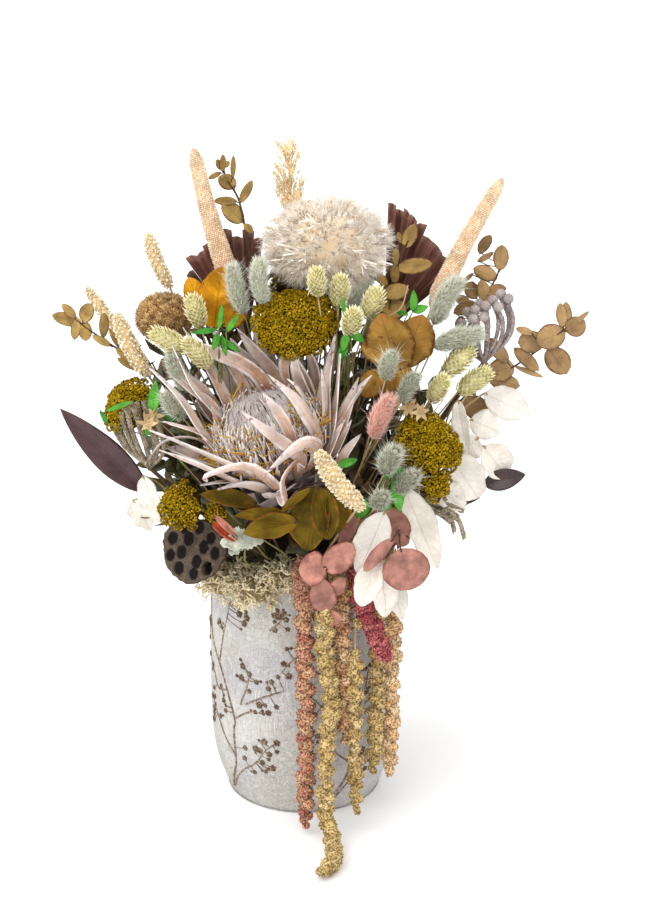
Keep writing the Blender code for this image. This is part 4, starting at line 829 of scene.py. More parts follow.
def makeProtea():
    seat = np.array(protea["seat"])
    axis = unit(protea["axis"])
    first = unit(np.cross(axis, [0, 0, 1]))
    second = np.cross(axis, first)
    rng = seeded(12)
    bracts = Heap()
    points, faces, keys = ball(3)
    bracts.add((points * (31, 31, 16) @ turns(first[None], axis[None])[0].T + seat - axis * 4, faces, keys),
        0, 0.9)
    for number, row in enumerate(protea["bracts"]):
        foot, middle, tip = np.array(row[:9], float).reshape(3, 3)
        width, ending = row[9:]
        level = foot - seat
        out = unit(level - axis * (level @ axis))
        spots = [seat + out * 18 - axis * 2, seat + out * 34 + axis * 2 + (foot - seat - out * 34) * 0.35,
            foot, middle, tip]
        facing = axis * 1.3 - out * 0.7
        if 9 < number < 17 or number in (34, 35):
            facing = facing * 0.5 + (-0.3, -0.9, 0.1)
        if ending:
            ahead = unit(tip - middle)
            hook = unit(facing - ahead * (facing @ ahead)) * (1 if number % 2 else -1)
            spots += [tip + ahead * 3 + hook * 5]
            spots += [tip - ahead * 3 + hook * 9, tip - ahead * 8 + hook * 5] if ending > 1 else []
        path = splinePath(spots, 20 if ending < 2 else 28)
        wide = width * (0.95 if number in (17, 19, 21) else 1.3)
        shape = bladeAlong(path, wide, strap(0.8, 0.66), facing, 6, rng.uniform(0.35, 1.15),
            rng.uniform(-0.5, 0.5), 0.025, 0.8, number)
        bracts.add(shape, 0, rng.uniform(0, 0.2) if width > 5 and number not in (25, 26) else 0.45)
    for count, lean, length in protea["backBracts"]:
        for number in range(count):
            angle = radians(-10 + 200 * (number + 0.5) / count) + rng.uniform(-0.08, 0.08)
            away = unit([cos(angle), sin(angle), 0])
            out = unit(away - axis * (away @ axis))
            start, stop = np.radians(np.array(lean) + rng.uniform(-4, 4, 2))
            shape = leafShape(length * rng.uniform(0.88, 1.04), rng.uniform(14, 18), strap(0.75, 0.8), 6, 14,
                bend=start - stop, curl=rng.choice([-0.3, 0.1, 0.6]), roll=rng.uniform(0.8, 1.4),
                twist=rng.uniform(-0.4, 0.4), thick=0.8, seed=number + 90)
            way = axis * cos(start) + out * sin(start)
            bracts.add(placed(shape, seat + out * 19 - axis * 2, way, axis * 1.4 - out * 0.6), 0,
                rng.uniform(0, 0.3))
    makePiece("proteaBracts", bracts, [bractLook()], "protea_bracts", slot="protea_bract")

    florets = Heap()
    middle = seat + protea["domeShift"]
    low, high, wide = protea["domeBase"], protea["domeTop"], protea["domeRadius"]
    core = ball(3)
    rise = np.maximum(core[0][:, 2], -0.15)
    inner = np.column_stack([core[0][:, 0] * wide * 0.8, core[0][:, 1] * wide * 0.8,
        low + (high - low) * 0.84 * rise])
    basis = np.stack([first, second, axis])
    florets.add((inner @ basis + middle, *core[1:]), 0, 0.95)
    # a silky cap of short hairs, gathered into tufts
    count = protea["florets"]
    share = np.sqrt(shares(count)) * 0.56
    turn = np.arange(count) * golden
    root, _ = domeSpots(share * 1.12 + 0.03, turn, basis, 0.86, 0.86)
    gathered = (share * 0.35 + np.round(share / 0.09) * 0.09 * 0.65) * 0.86
    tip, _ = domeSpots(gathered, turn * 0.35 + np.round(turn / 0.23) * 0.23 * 0.65, basis)
    tip = jitter(tip, rng, 1.1)
    florets.add(pointedHairs(root + middle, tip + middle, 1, rng.uniform(0, 0.5, count) ** 1.5))
    # long flat strips over the lower side and round the rim
    count = protea["strips"]
    share = 0.5 + 0.5 * rng.uniform(0, 1, count) ** 0.8
    turn = np.arange(count) * golden + rng.uniform(-0.1, 0.1, count)
    root, out = domeSpots(share * 1.04, turn, basis, 0.84, 0.88)
    closer = share * rng.uniform(0.52, 0.86, count)
    tip, _ = domeSpots(closer, turn + rng.normal(size=count) * 0.14, basis, 1.03, 1.1)
    tip = jitter(tip + out * rng.uniform(-2, 4, count)[:, None], rng, 2)
    bowed = jitter((root + tip) / 2 + out * 2.5, rng, 1.5)
    tones = rng.uniform(0, 0.5, count) ** 1.8
    florets.add(tubes(np.stack([root, bowed, tip], axis=1) + middle, [1.2, 1.5, 0.9], 4, tones, 0.45))
    # golden styles stand out between them
    count = protea["styles"]
    share = 0.45 + 0.6 * rng.uniform(0, 1, count) ** 0.8
    turn = rng.uniform(0, tau, count)
    root, out = domeSpots(share * 0.82, turn, basis, 0.82, 0.82)
    tip, _ = domeSpots(share * 0.78, turn + rng.normal(size=count) * 0.26, basis, 1.05, 1.18)
    tip = jitter(tip, rng, 3.8)
    bowed = jitter((root + tip) / 2 + out * 3, rng, 1.8)
    tones = rng.uniform(0.1, 1, count)
    florets.add(tubes(np.stack([root, bowed, tip], axis=1) + middle, [0.6, 0.6, 0.65], 3, tones), 1)
    styleLook = toneLook("goldenStyle", [(0.3, 0.09, 0.008), (0.56, 0.29, 0.02), (0.68, 0.47, 0.08)], 2, 0.1,
        rough=0.5)
    makePiece("proteaFlorets", florets, [floretLook(), styleLook], "protea_florets", slot="protea_floret")

    cups = Heap()
    cups.stem(4.4, seat - axis * 22, 3, tone=0.3, sides=8, skin=0)
    cupBody = turned([(4, -40), (9, -34), (15, -24), (20, -14), (18, -7)], 20)
    cups.add((cupBody[0] @ basis + seat, *cupBody[1:]), 1, 0.2)
    for ring, (lean, length, width) in enumerate(((104, 40, 27), (90, 46, 28), (72, 42, 25))):
        for number in range(protea["cups"]):
            angle = tau * (number + ring * 0.5) / protea["cups"] + rng.uniform(-0.1, 0.1)
            out = first * cos(angle) + second * sin(angle)
            way = axis * cos(radians(lean)) + out * sin(radians(lean))
            shape = leafShape(length * rng.uniform(0.9, 1.1), width, oval(0.55, 0.6), 6, 8, cup=1, bend=0.6,
                curl=0.4, thick=0.9, seed=number)
            root = seat - axis * (27 - 8 * ring) + out * 8
            cups.add(placed(shape, root, way, axis), 1, rng.uniform(0, 1))
    cupLook = leafLook("darkCupBract", ((0.12, 0.082, 0.074), (0.24, 0.175, 0.16), (0.4, 0.32, 0.3)),
        (0.44, 0.36, 0.34), (0.11, 0.08, 0.06), patches=12, rib=0.02, veins=0, rough=0.75, sheen=0.3)
    makePiece("proteaStem", cups, [darkStem, cupLook], "protea_stem", slot="protea_stem")


makeProtea()
print("protea done")


# Feather puff: seed hairs in feathered tufts on thin rays

puff = {
    "centre": (21, -15, 524), "size": (61, 55, 44), "foot": (18, -13, 500),
    "rays": 330, "hairs": 25, "hairLength": (10, 18), "hairThick": 0.36, "specks": 60, "branches": 16,
}


def makePuff():
    heap = Heap()
    rng = seeded(31)
    centre, size = np.array(puff["centre"], float), np.array(puff["size"], float)
    core = ball(3)
    heap.add((wobble(core[0] * size * 0.55, 1.4, 18) + centre, *core[1:]), 0, 0.1)
    ways = unit(jitter(sphereSpots(puff["rays"], rng), rng, 0.08))
    far = rng.uniform(0.7, 0.9, len(ways))[:, None] * size * ways
    near = ways * size * 0.28
    bowed = jitter((far + near) / 2, rng, 2)
    tones = rng.uniform(0.3, 1, len(ways))
    heap.add(tubes(np.stack([near, bowed, far], axis=1) + centre, [0.45, 0.4, 0.3], 3, tones))
    # each ray ends in a tuft of fine hairs, which hangs a little
    start = each(far, puff["hairs"])
    start = start - each(unit(far), puff["hairs"]) * rng.uniform(0, 9, len(start))[:, None]
    way = unit(jitter(each(unit(far), puff["hairs"]), rng, 0.42) - [0, 0, 0.06])
    length = rng.uniform(*puff["hairLength"], len(start))[:, None]
    end = start + unit(way + rng.normal(size=start.shape) * 0.16) * length
    limit = norm(end / (size * 1.04), axis=1, keepdims=True)
    end = np.where(limit > 1, end / limit, end)
    tones = each(rng.uniform(0.45, 1, len(far)), puff["hairs"])
    heap.add(pointedHairs(start + centre, end + centre, puff["hairThick"], tones))
    for ray in range(puff["branches"]):
        way = unit(rng.normal(size=3) * (1, 0.6, 0.6) + [0, -0.9, 0.1])
        path = splinePath([way * 12, way * 30 + rng.normal(size=3) * 4,
            way * size * 0.99 + rng.normal(size=3) * 5], 7)
        heap.add(tubes(path + centre, np.linspace(1.5, 0.7, 7), 5, 1))
        for step in (2, 3, 4, 5):
            side = unit(rng.normal(size=3) + way)
            heap.add(tubes(np.stack([path[step], path[step] + side * 12]) + centre, [0.8, 0.4], 4, 1))
    count = puff["specks"]
    spots = unit(rng.normal(size=(count, 3))) * size * rng.uniform(0.62, 0.88, (count, 1)) + centre
    frames = turns(rng.normal(size=spots.shape), [0, 0, 1])
    sizes = np.column_stack(np.broadcast_arrays(0.7, rng.uniform(1.2, 2.6, count), 0.6))
    heap.add(stamped(ball(1), spots, frames, sizes, rng.uniform(0, 1, count)), 1)
    heap.stem(2.2, puff["foot"], 8, skin=2)
    hair = toneLook("creamPappus", [(0.97, 0.76, 0.5), (0.995, 0.85, 0.65), (1, 0.89, 0.74), (1, 0.92, 0.81)],
        4, 0.1, 0.98, 1.02, rough=0.95, shine=0.1, sheen=0.35)
    seed = toneLook("orangeSpeck", [(0.5, 0.23, 0.06), (0.66, 0.4, 0.16)], 1, 0.1)
    makePiece("featherPuff", heap, [hair, seed, strawStem], "feather_puff", slot="puff")


makePuff()
print("puff done")


# Millet, setaria and a straw plume

millet = {
    "millet_left": ((-62, 0, 483), (-95, 25, 600), 9.6),
    "millet_right": ((113, -10, 463), (175, 25, 573), 9.2),
    "rings": 74, "round": 24, "grain": 1.1,
    "shades": [(0.76, 0.52, 0.33), (0.91, 0.72, 0.5), (0.97, 0.87, 0.7)],
    "groove": [(0.58, 0.36, 0.2), (0.74, 0.51, 0.32)],
}


def makeMillet(name):
    base, tip, radius = (np.asarray(part, float) for part in millet[name])
    heap = Heap()
    rng = seeded(len(name))
    axis = unit(tip - base)
    bow = np.cross(axis, [0, 1, 0]) * 2.5
    middle = (base + tip) / 2 + bow
    path = splinePath([base, middle, tip], 60)
    t = np.linspace(0, 1, 60)
    profile = np.minimum(1, 8 * t) ** 0.5 * (1.06 - 0.46 * t) * np.minimum(1, 10 * (1 - t)) ** 0.5
    heap.add(tubes(path, np.maximum(profile * radius * 0.93, 0.3), 20, 0.5), 1)
    frameOf = basisOf(axis, (0, -1, 0.2))
    rings, around = millet["rings"], millet["round"]
    level = each(shares(rings), around)
    index = np.tile(np.arange(around), rings) + each(np.arange(rings) * 0.5, around)
    turn = index / around * tau + level * 2.2
    out = roundAxis(turn, frameOf)
    wide = np.interp(level, t, profile)
    spots = onPath(path, level) + out * (wide * radius * 0.93)[:, None]
    spots = jitter(spots, rng, 0.12)
    sizes = millet["grain"] * (0.6 + 0.4 * wide) * rng.uniform(0.9, 1.1, len(spots))
    heap.add(stamped(ball(0), spots, turns(out, axis), sizes[:, None] * (1, 1.1, 1),
        rng.uniform(0, 1, len(spots))))
    heap.stem(2.3, base + axis * 6, len(name), skin=2)
    dress(name, "Spike", heap, [milletLook, grooveLook, strawStem], "millet")


milletLook = toneLook("milletGrain", millet["shades"], 1.5, 0.15, 0.85, 1.12, rough=0.8)
grooveLook = toneLook("milletGroove", millet["groove"], 1.5, 0.3)
makeMillet("millet_left")
makeMillet("millet_right")
print("millet done")

setaria = {
    # node: spikes as (base, tip, half width), the share of bristles
    "setaria_front": ([((50, -171, 340), (14, -196, 398), 9.2)], 0.5),
    "setaria_left": ([((-117, 10, 478), (-136, 20, 524), 7), ((-146, 5, 424), (-193, 32, 471), 6.2),
        ((-133, -52, 416), (-160, -40, 468), 8)], 1),
    "grain": 1.35, "lobes": 120, "perLobe": 7, "bristle": 2.6,
    "shades": [(0.7, 0.5, 0.24), (0.9, 0.76, 0.5), (0.98, 0.92, 0.76)],
}


def grainSpike(heap, base, tip, radius, seed, bristles):
    rng = seeded(seed)
    base, tip = np.asarray(base, float), np.asarray(tip, float)
    axis = unit(tip - base)
    length = norm(tip - base)
    bow = np.cross(axis, [0.1, 1, 0.1]) * length * 0.04
    path = splinePath([base, (base + tip) / 2 + bow, tip], 24)
    t = np.linspace(0, 1, 24)
    profile = np.minimum(1, np.minimum(4.5 * t + 0.12, 4 * (1 - t) + 0.1)) ** 0.6
    heap.add(tubes(path, profile * radius * 0.66, 10, 0.1))
    lobes = int(setaria["lobes"] * length * radius / 480)
    level = shares(lobes)
    turn = np.arange(lobes) * golden
    frameOf = basisOf(axis, (0, -1, 0.2))
    out = roundAxis(turn, frameOf)
    wide = np.interp(level, t, profile) * radius
    spots = onPath(path, level) + out * (wide * 0.7)[:, None]
    grains = each(spots, setaria["perLobe"])
    around = each(out, setaria["perLobe"])
    way = unit(around + rng.normal(size=grains.shape) * 0.75 + axis * 0.4)
    grains = grains + way * rng.uniform(0.12, 0.26, len(grains))[:, None] * radius
    sizes = setaria["grain"] * rng.uniform(0.7, 1.1, len(grains))
    heap.add(stamped(ball(0), grains, turns(way, axis), sizes[:, None] * (0.75, 1, 0.75),
        rng.uniform(0.2, 1, len(grains))))
    count = int(lobes * 5 * bristles)
    pick = rng.integers(0, lobes, count)
    way = unit(out[pick] + axis * rng.uniform(0.4, 1.4, count)[:, None] + rng.normal(size=(count, 3)) * 0.3)
    start = spots[pick] + way
    end = start + way * (setaria["bristle"] * rng.uniform(0.7, 1.3, count))[:, None]
    heap.add(pointedHairs(start, end, 0.26, rng.uniform(0.5, 1, count)))


setariaLook = toneLook("setariaGrain", setaria["shades"], 1.5, 0.15, 0.85, 1.12, rough=0.8)
for name in nodesOf(setaria):
    spikes, bristles = setaria[name]
    heap = Heap()
    for number, (base, tip, radius) in enumerate(spikes):
        grainSpike(heap, base, tip, radius, number + 7, bristles)
        heap.stem(1.2, np.array(base) + unit(np.subtract(tip, base)) * 4, number)
    dress(name, "Spikes", heap, [setariaLook, strawStem], "setaria")
print("setaria done")

plume = {
    "path": [(-8, 28, 528), (-9, 30, 550), (-15, 36, 598)], "sprays": 72, "hairs": 14, "reach": 19,
    "shades": [(0.8, 0.53, 0.24), (0.97, 0.78, 0.48), (0.995, 0.92, 0.72)],
}


def makePlume():
    heap = Heap()
    rng = seeded(4)
    path = splinePath(plume["path"], 30)
    axis = unit(path[-1] - path[0])
    heap.add(tubes(path, np.linspace(1.5, 0.5, 30), 6, 0.2))
    level = np.linspace(0.12, 0.97, plume["sprays"])
    start = onPath(path, level)
    out = unit(np.cross(axis, rng.normal(size=start.shape)))
    long = plume["reach"] * (0.35 + 0.9 * np.sin(pi * level) ** 0.7)[:, None]
    way = unit(out * 0.62 + axis)
    end = start + way * long * 1.15
    heap.add(tubes(np.stack([start, (start + end) / 2 + out, end], axis=1), [0.5, 0.4, 0.25], 4, 0.4))
    count = plume["hairs"]
    along = rng.uniform(0.2, 1, len(start) * count)[:, None]
    spots = each(start, count) * (1 - along) + each(end, count) * along
    fluff = unit(jitter(each(way, count), rng, 0.5))
    spots = jitter(spots, rng, 0.4)
    sizes = np.column_stack(np.broadcast_arrays(0.75, rng.uniform(1.5, 2.8, len(spots)), 0.55))
    heap.add(stamped(ball(0), spots, turns(fluff, out[0]), sizes, rng.uniform(0.1, 1, len(spots))))
    heap.add(pointedHairs(spots, spots + fluff * rng.uniform(3.5, 7, len(spots))[:, None], 0.3,
        rng.uniform(0.4, 1, len(spots))))
    heap.stem(1.5, plume["path"][0], 2)
    look = toneLook("strawPlume", plume["shades"], 2, 0.15, rough=0.85)
    makePiece("strawPlume", heap, [look, strawStem], "straw_plume", slot="plume")


makePlume()

# Brown cluster: a knob of spiky tufts

cluster = {
    "centre": (-119, -32, 463), "size": (25, 22, 21), "tufts": 74, "spines": 30, "length": 6.2,
    "foot": (-116, -30, 448),
    "shades": [(0.22, 0.11, 0.035), (0.5, 0.29, 0.11), (0.76, 0.53, 0.25)],
}


def makeCluster():
    heap = Heap()
    rng = seeded(17)
    centre, size = np.array(cluster["centre"], float), np.array(cluster["size"], float)
    core = ball(3)
    heap.add((wobble(core[0] * size * 0.88, 0.8, 9) + centre, *core[1:]), 0, 0.1)
    ways = sphereSpots(cluster["tufts"], rng, -0.9)
    spots = centre + ways * size * 0.8
    knob = ball(2)
    heap.add(stamped(knob, spots + ways, turns(ways, [0.1, 0.2, 1]), 3.4,
        rng.uniform(0, 0.25, len(ways))))
    count = cluster["spines"]
    ring = np.tile(np.arange(count) * golden, len(ways))
    opening = np.tile(np.sqrt(shares(count)), len(ways))
    frames = each(turns(ways, [0.1, 0.2, 1]), count)
    local = np.stack([np.cos(ring) * np.sin(opening * 1.15), np.cos(opening * 1.15),
        np.sin(ring) * np.sin(opening * 1.15)], axis=-1)
    way = np.einsum("nij,nj->ni", frames, local)
    start = each(spots, count) + way * 1.6
    end = start + way * (cluster["length"] * rng.uniform(0.75, 1.15, len(way)))[:, None]
    upper = each(np.clip(ways[:, 2] * 0.5 + 0.35, 0, 1), count)
    heap.add(pointedHairs(start, end, 1.5, rng.uniform(0.2, 1, len(way))))
    purple = rng.uniform(0, 1, len(way)) < upper * 0.35
    heap.add(pointedHairs(start[purple] + way[purple], end[purple] + way[purple] * 0.6, 0.9), 1)
    heap.stem(1.9, cluster["foot"], 4, skin=2)
    look = toneLook("brownKnob", cluster["shades"], 2, 0.3, 0.75, 1.2, rough=0.9)
    tips = toneLook("plumTip", [(0.2, 0.11, 0.11), (0.34, 0.23, 0.24)], 1, 0.1)
    makePiece("brownCluster", heap, [look, tips, darkStem], "brown_cluster", slot="cluster")


makeCluster()
print("plume and cluster done")


# Lotus pod: a flat face with deep seed holes

lotus = {
    "face": (-95, -98, 273), "axis": (-0.42, -0.84, 0.34), "radius": 30,
    # angle and distance from the middle of each hole, and its size
    "holes": [(0.42, 11.5, 4.7), (2, 10.8, 4.9), (3.55, 11, 4.7), (5.2, 11.6, 4.8), (0, 22.3, 4.6),
        (0.72, 21.6, 4.3), (1.42, 22.2, 4.7), (2.1, 21.9, 4.2), (2.85, 22, 4.7), (3.55, 22.3, 4.4),
        (4.25, 21.8, 4.7), (4.95, 22.2, 4.3), (5.6, 21.9, 4.6)],
    "wide": 1.18, "deep": 9, "rings": 36, "steps": 112,
}


def makeLotus():
    rng = seeded(8)
    radius = lotus["radius"]
    inner = np.linspace(0.6, radius * 0.965, lotus["rings"])
    profile = [(5.2, -44), (6.2, -40), (9.5, -34), (15, -27), (21.5, -19), (26.5, -11.5), (29.6, -6),
        (30.8, -2.4), (30.6, -0.4), (29.9, 0.5)]
    profile = splinePath([(*spot, 0) for spot in profile], 34)[:, :2]
    profile = np.concatenate([profile, np.stack([inner[::-1], np.full(len(inner), 0.35)], axis=-1)])
    points, faces, keys = turned(profile, lotus["steps"])
    turn = np.arctan2(points[:, 1], points[:, 0])
    points[:, :2] *= (1 + 0.04 * np.sin(3 * turn + 0.6) + 0.02 * np.sin(7 * turn))[:, None]
    points[:, 1] *= 0.93
    wall = points[:, 2] < 0
    ribs = np.sin(turn * 23) * 0.45 * wall
    points[:, :2] *= (1 + ribs / 40)[:, None]
    face = ~wall
    lift = np.zeros(len(points))
    # the tone key marks the hole insides, which are painted near-black: painted shade in the holes
    dark = np.zeros(len(points))
    for angle, ring, size in lotus["holes"]:
        angle += rng.uniform(-0.06, 0.06)
        centre = np.array([cos(angle) * ring, sin(angle) * ring * 0.93])
        gap = norm((points[:, :2] - centre) / (0.9, 1.12), axis=1) / (size * lotus["wide"])
        rim = np.exp(-((gap - 1.16) / 0.16) ** 2)
        lift = np.maximum(lift, rim * 0.9)
        dip = np.clip((1.05 - gap) / 0.16, 0, 1)
        dark = np.maximum(dark, dip * (gap < 1.06))
        lift = np.where(face & (gap < 1.08), rim * 0.9 * (1 - dip) - dip * lotus["deep"], lift)
    points[:, 2] += np.where(face, lift, 0)
    points = wobble(points, 0.22, 6, 3)
    keys[:, 0] = np.where(face, 1, 0)
    keys[:, 2] = dark
    axis = unit(lotus["axis"])
    side = unit(np.cross([0, 0, 1], axis))
    basis = np.stack([side, np.cross(axis, side), axis])
    heap = Heap()
    heap.add((points @ basis + lotus["face"], faces, keys))
    look = Look("lotusPod", 0.88, 0.2)
    grain = look.noise(2.4, 5)
    look.colour = (0.036, 0.022, 0.013)
    look.lay((0.1, 0.064, 0.037), look.fit(grain, 0.38, 0.64))
    look.lay((0.17, 0.14, 0.11), look.across, 0.35)
    # near-black where the tone key is set: painted shade inside the seed holes, also on the seeds
    look.lay((0.008, 0.005, 0.004), look.tone)
    look.wear(10, 0.8, 1.25)
    podLook = look.done(grain, 0.5)
    seeds = np.array([[cos(a) * r, sin(a) * r * 0.93, -lotus["deep"] + 1.2]
        for a, r, _ in lotus["holes"][::2]])
    spots = seeds @ basis + lotus["face"]
    frames = each(basis.T[None], len(spots))
    # the seeds take the same near-black: partly their own dark colour, partly painted shade deep in the holes
    heap.add(stamped(ball(2), spots, frames, np.array([[3.1, 3.1, 2.2]] * len(spots)), 0.97))
    heap.stem(2.8, np.array(lotus["face"]) - axis * 40, 6, tone=0.5, sides=8)
    makePiece("lotusPod", heap, [podLook, darkStem], "lotus_pod", slot="lotus")


makeLotus()
print("lotus done")


# Yarrow: flat heads of small buttons on branching stalks

yarrow = {
    # node: heads as (centre, radius, height, axis)
    "yarrow_centre": [((-6, -66, 464), 36, 21, (-0.05, -0.55, 0.83))],
    "yarrow_left": [((-146, -66, 392), 25, 18, (-0.5, -0.5, 0.7))],
    "yarrow_right": [((103, -104, 372), 27, 19, (0.3, -0.75, 0.5)),
        ((112, -112, 340), 13, 12, (0.4, -0.8, 0.2)), ((122, -98, 362), 14, 12, (0.7, -0.6, 0.3))],
    "yarrow_low": [((-100, -118, 321), 19, 20, (-0.5, -0.8, 0.35)),
        ((-72, -122, 318), 8, 9, (-0.3, -0.9, 0.2))],
    "yarrow_back": [((6, 66, 462), 34, 19, (0, 0.6, 0.8))],
    "clump": 5.6, "perClump": 17, "button": 1.4,
    "shades": [(0.05, 0.03, 0.001), (0.21, 0.13, 0.003), (0.34, 0.215, 0.005), (0.48, 0.32, 0.015)],
}


def yarrowHead(heap, centre, radius, height, axis, seed):
    rng = seeded(seed)
    axis = unit(axis)
    basis = basisOf(axis, (0.2, 0.1, 1))  # across, along the axis, out
    centre = np.asarray(centre, float)
    clumps = int(1.5 * (radius / yarrow["clump"]) ** 2 * 2)
    share = np.sqrt(shares(clumps))
    turn = np.arange(clumps) * golden
    reach = share * radius * (1 + 0.06 * np.sin(3 * turn + seed)) * rng.uniform(0.95, 1.03, clumps)
    rise = jitter(height * np.sqrt(np.maximum(0, 1 - share**2 * 0.92)), rng, 0.7)
    flat = roundAxis(turn, basis)
    middle = centre + flat * reach[:, None] + axis * rise[:, None] * 0.85
    ways = unit(flat * share[:, None] * 1.1 + axis)
    core = ball(3)
    squashed = core[0] * (radius * 0.9, height * 0.78, radius * 0.9)
    squashed[:, 1] = np.where(core[0][:, 1] < 0, squashed[:, 1] * 0.35, squashed[:, 1])
    # the core under the buttons takes the darkest, near-black shade: painted shade between the clumps
    heap.add((squashed @ basis.T + centre, *core[1:]), 0, 0)
    count = yarrow["perClump"]
    mound = sphereSpots(count, rng, 0.05)
    frames = turns(ways, [0.1, 0.2, 1])
    local = np.einsum("nij,mj->nmi", frames, mound[:, [0, 2, 1]] * (1, 0.75, 1))
    spots = jitter(middle[:, None] + local * yarrow["clump"] * 0.72, rng, 0.35).reshape(-1, 3)
    face = unit(local.reshape(-1, 3) + each(ways, count) * 0.5)
    sizes = yarrow["button"] * rng.uniform(0.8, 1.15, len(spots))
    tones = np.clip(rng.normal(0.6, 0.22, len(spots)) - each(share, count) ** 3 * 0.12, 0, 1)
    heap.add(stamped(ball(0), spots, turns(face, axis), sizes[:, None] * (1, 0.85, 1), tones))
    fork = centre - axis * (height * 0.5 + 14)
    foot = middle[::2] - ways[::2] * 4
    knee = (foot + fork) / 2 + flat[::2] * (reach[::2] * 0.12)[:, None]
    heap.add(tubes(np.stack([each(fork[None], len(foot)), knee, foot], axis=1), [1.1, 0.8, 0.7], 4, 0.3), 1)
    heap.stem(1.8, fork, seed)


yarrowLook = toneLook("mustardButton", yarrow["shades"], 1.2, 0.2, 0.75, 1.25, rough=1, shine=0.05)
for number, name in enumerate(nodesOf(yarrow)):
    heap = Heap()
    for step, (centre, radius, height, axis) in enumerate(yarrow[name]):
        yarrowHead(heap, centre, radius, height, axis, number * 5 + step + 1)
    dress(name, "Heads", heap, [yarrowLook, greenStem], "yarrow")
print("yarrow done")


# Bunches on forked stems: centre, length and width of each head, and its axis if it leans

bunches = {
    "phalaris_left": [((-112, -78, 456), 40, 18, (-0.8, -0.15, 0.5)), ((-90, -64, 478), 34, 17),
        ((-88, -84, 447), 36, 17, (-0.6, -0.1, 0.7))],
    "phalaris_centre": [((32, -72, 498), 31, 15), ((42, -92, 476), 29, 17), ((60, -72, 487), 33, 19),
        ((13, -82, 508), 28, 14)],
    "phalaris_right": [((134, -62, 433), 42, 20, (0.6, -0.2, 0.7)),
        ((148, -62, 415), 40, 19, (0.7, -0.2, 0.6)), ((116, -82, 414), 34, 16)],
    "lagurus_back_left": [((-54, -52, 494), 46, 15), ((-34, -64, 504), 42, 15)],
    "lagurus_left": [((-104, -78, 428), 40, 15), ((-108, -98, 404), 34, 14)],
    "lagurus_right": [((124, -42, 480), 46, 18, (0.45, -0.1, 0.85)),
        ((133, -62, 452), 44, 17, (0.92, -0.2, 0.32))],
    "lagurus_centre": [((73, -118, 446), 28, 15), ((90, -112, 425), 32, 14)],
    "lagurus_grey": [((74, -146, 372), 32, 18), ((88, -138, 350), 30, 16), ((66, -154, 340), 28, 15)],
    "lagurus_back": [((-62, 78, 452), 44, 16), ((-30, 96, 430), 40, 15), ((52, 92, 446), 44, 16)],
    "lagurus_pink": [((67, -125, 403), 44, 16, (0.33, -0.3, 0.9))],
}
phalaris = {
    "scales": 132, "scale": (8.6, 3.3),
    "shades": [(0.6, 0.53, 0.2), (0.84, 0.76, 0.38), (0.96, 0.91, 0.62)],
}
lagurus = {
    "hairs": 1200, "hairLength": (5.5, 10), "whiskers": 34, "whiskerLength": (12, 20),
    "shades": [(0.5, 0.51, 0.37), (0.76, 0.77, 0.62), (0.94, 0.94, 0.83)],
    "pink": [(0.82, 0.33, 0.25), (0.95, 0.54, 0.44), (0.98, 0.74, 0.64)],
    "grey": [(0.36, 0.37, 0.26), (0.62, 0.63, 0.49), (0.86, 0.86, 0.74)],
}


def phalarisLook():
    look = Look("phalarisScale", 0.8, 0.2)
    look.ramp(look.tone, *zip((0, 0.5, 1), phalaris["shades"]))
    look.lay((0.42, 0.44, 0.12), look.fit(look.span, 0, 0.35, 0.55, 0))
    look.lay((0.95, 0.9, 0.66), look.fit(look.along, 0.45, 1, 0, 0.6))
    look.wear(7, 0.85, 1.1)
    return look.done(look.noise(1, 3), 0.2)


def phalarisHead(heap, centre, axis, length, width, seed):
    rng = seeded(seed)
    frameOf = basisOf(axis)
    core = ball(2)
    heap.add(((core[0] * (width * 0.36, length * 0.44, width * 0.36)) @ frameOf.T + centre, *core[1:]),
        0, 0.2)
    count = phalaris["scales"]
    level = shares(count)
    turn = np.arange(count) * golden
    profile = np.sin(pi * np.clip(level * 0.92 + 0.05, 0, 1)) ** 0.6
    out = roundAxis(turn, frameOf)
    spots = centre + axis * ((level - 0.56) * length * 0.86)[:, None] + out * (profile * width * 0.3)[:, None]
    way = unit(axis * (1 + level)[:, None] + out * rng.uniform(0.45, 0.75, count)[:, None])
    long, wide = phalaris["scale"]
    scale = leafShape(long, wide, oval(0.4, 0.9), 2, 2, cup=0.5, bend=0.35, thick=0.35)
    sizes = rng.uniform(0.8, 1.05, count) * (0.75 + 0.25 * profile)
    heap.add(stamped(scale, spots, turns(way, out), sizes, np.clip(rng.normal(0.55, 0.25, count), 0, 1)))


def lagurusHead(heap, centre, axis, length, width, seed):
    rng = seeded(seed)
    side = unit(np.cross(axis, [0.3, 1, 0.2]))
    path = splinePath([centre - axis * length / 2, centre + side * length * 0.05, centre + axis * length / 2],
        12)
    t = np.linspace(0, 1, 12)
    profile = np.sin(pi * np.clip(t * 0.93 + 0.04, 0, 1)) ** 0.55
    heap.add(tubes(path, profile * width * 0.36, 9, 0.1))
    count = int(lagurus["hairs"] * length * width / 640)
    level = rng.uniform(0.01, 0.97, count)
    turn = rng.uniform(0, tau, count)
    frameOf = basisOf(axis)
    out = roundAxis(turn, frameOf)
    spots = onPath(path, level)
    spots = spots + out * (np.interp(level, t, profile) * width * 0.33)[:, None]
    way = out * rng.uniform(0.5, 0.9, count)[:, None] + axis * (0.65 + level * 0.7)[:, None]
    way = unit(jitter(way, rng, 0.22))
    long = rng.uniform(*lagurus["hairLength"], count)[:, None] * width / 17
    end = spots + way * long
    heap.add(pointedHairs(spots, end, 0.34, rng.uniform(0.2, 1, count)))
    count = lagurus["whiskers"]
    pick = rng.integers(0, len(spots), count)
    way = unit(out[pick] * 0.9 + axis * rng.uniform(0.5, 1.3, count)[:, None])
    end = spots[pick] + way * rng.uniform(*lagurus["whiskerLength"], count)[:, None]
    heap.add(pointedHairs(spots[pick], end, 0.22, 0.9))


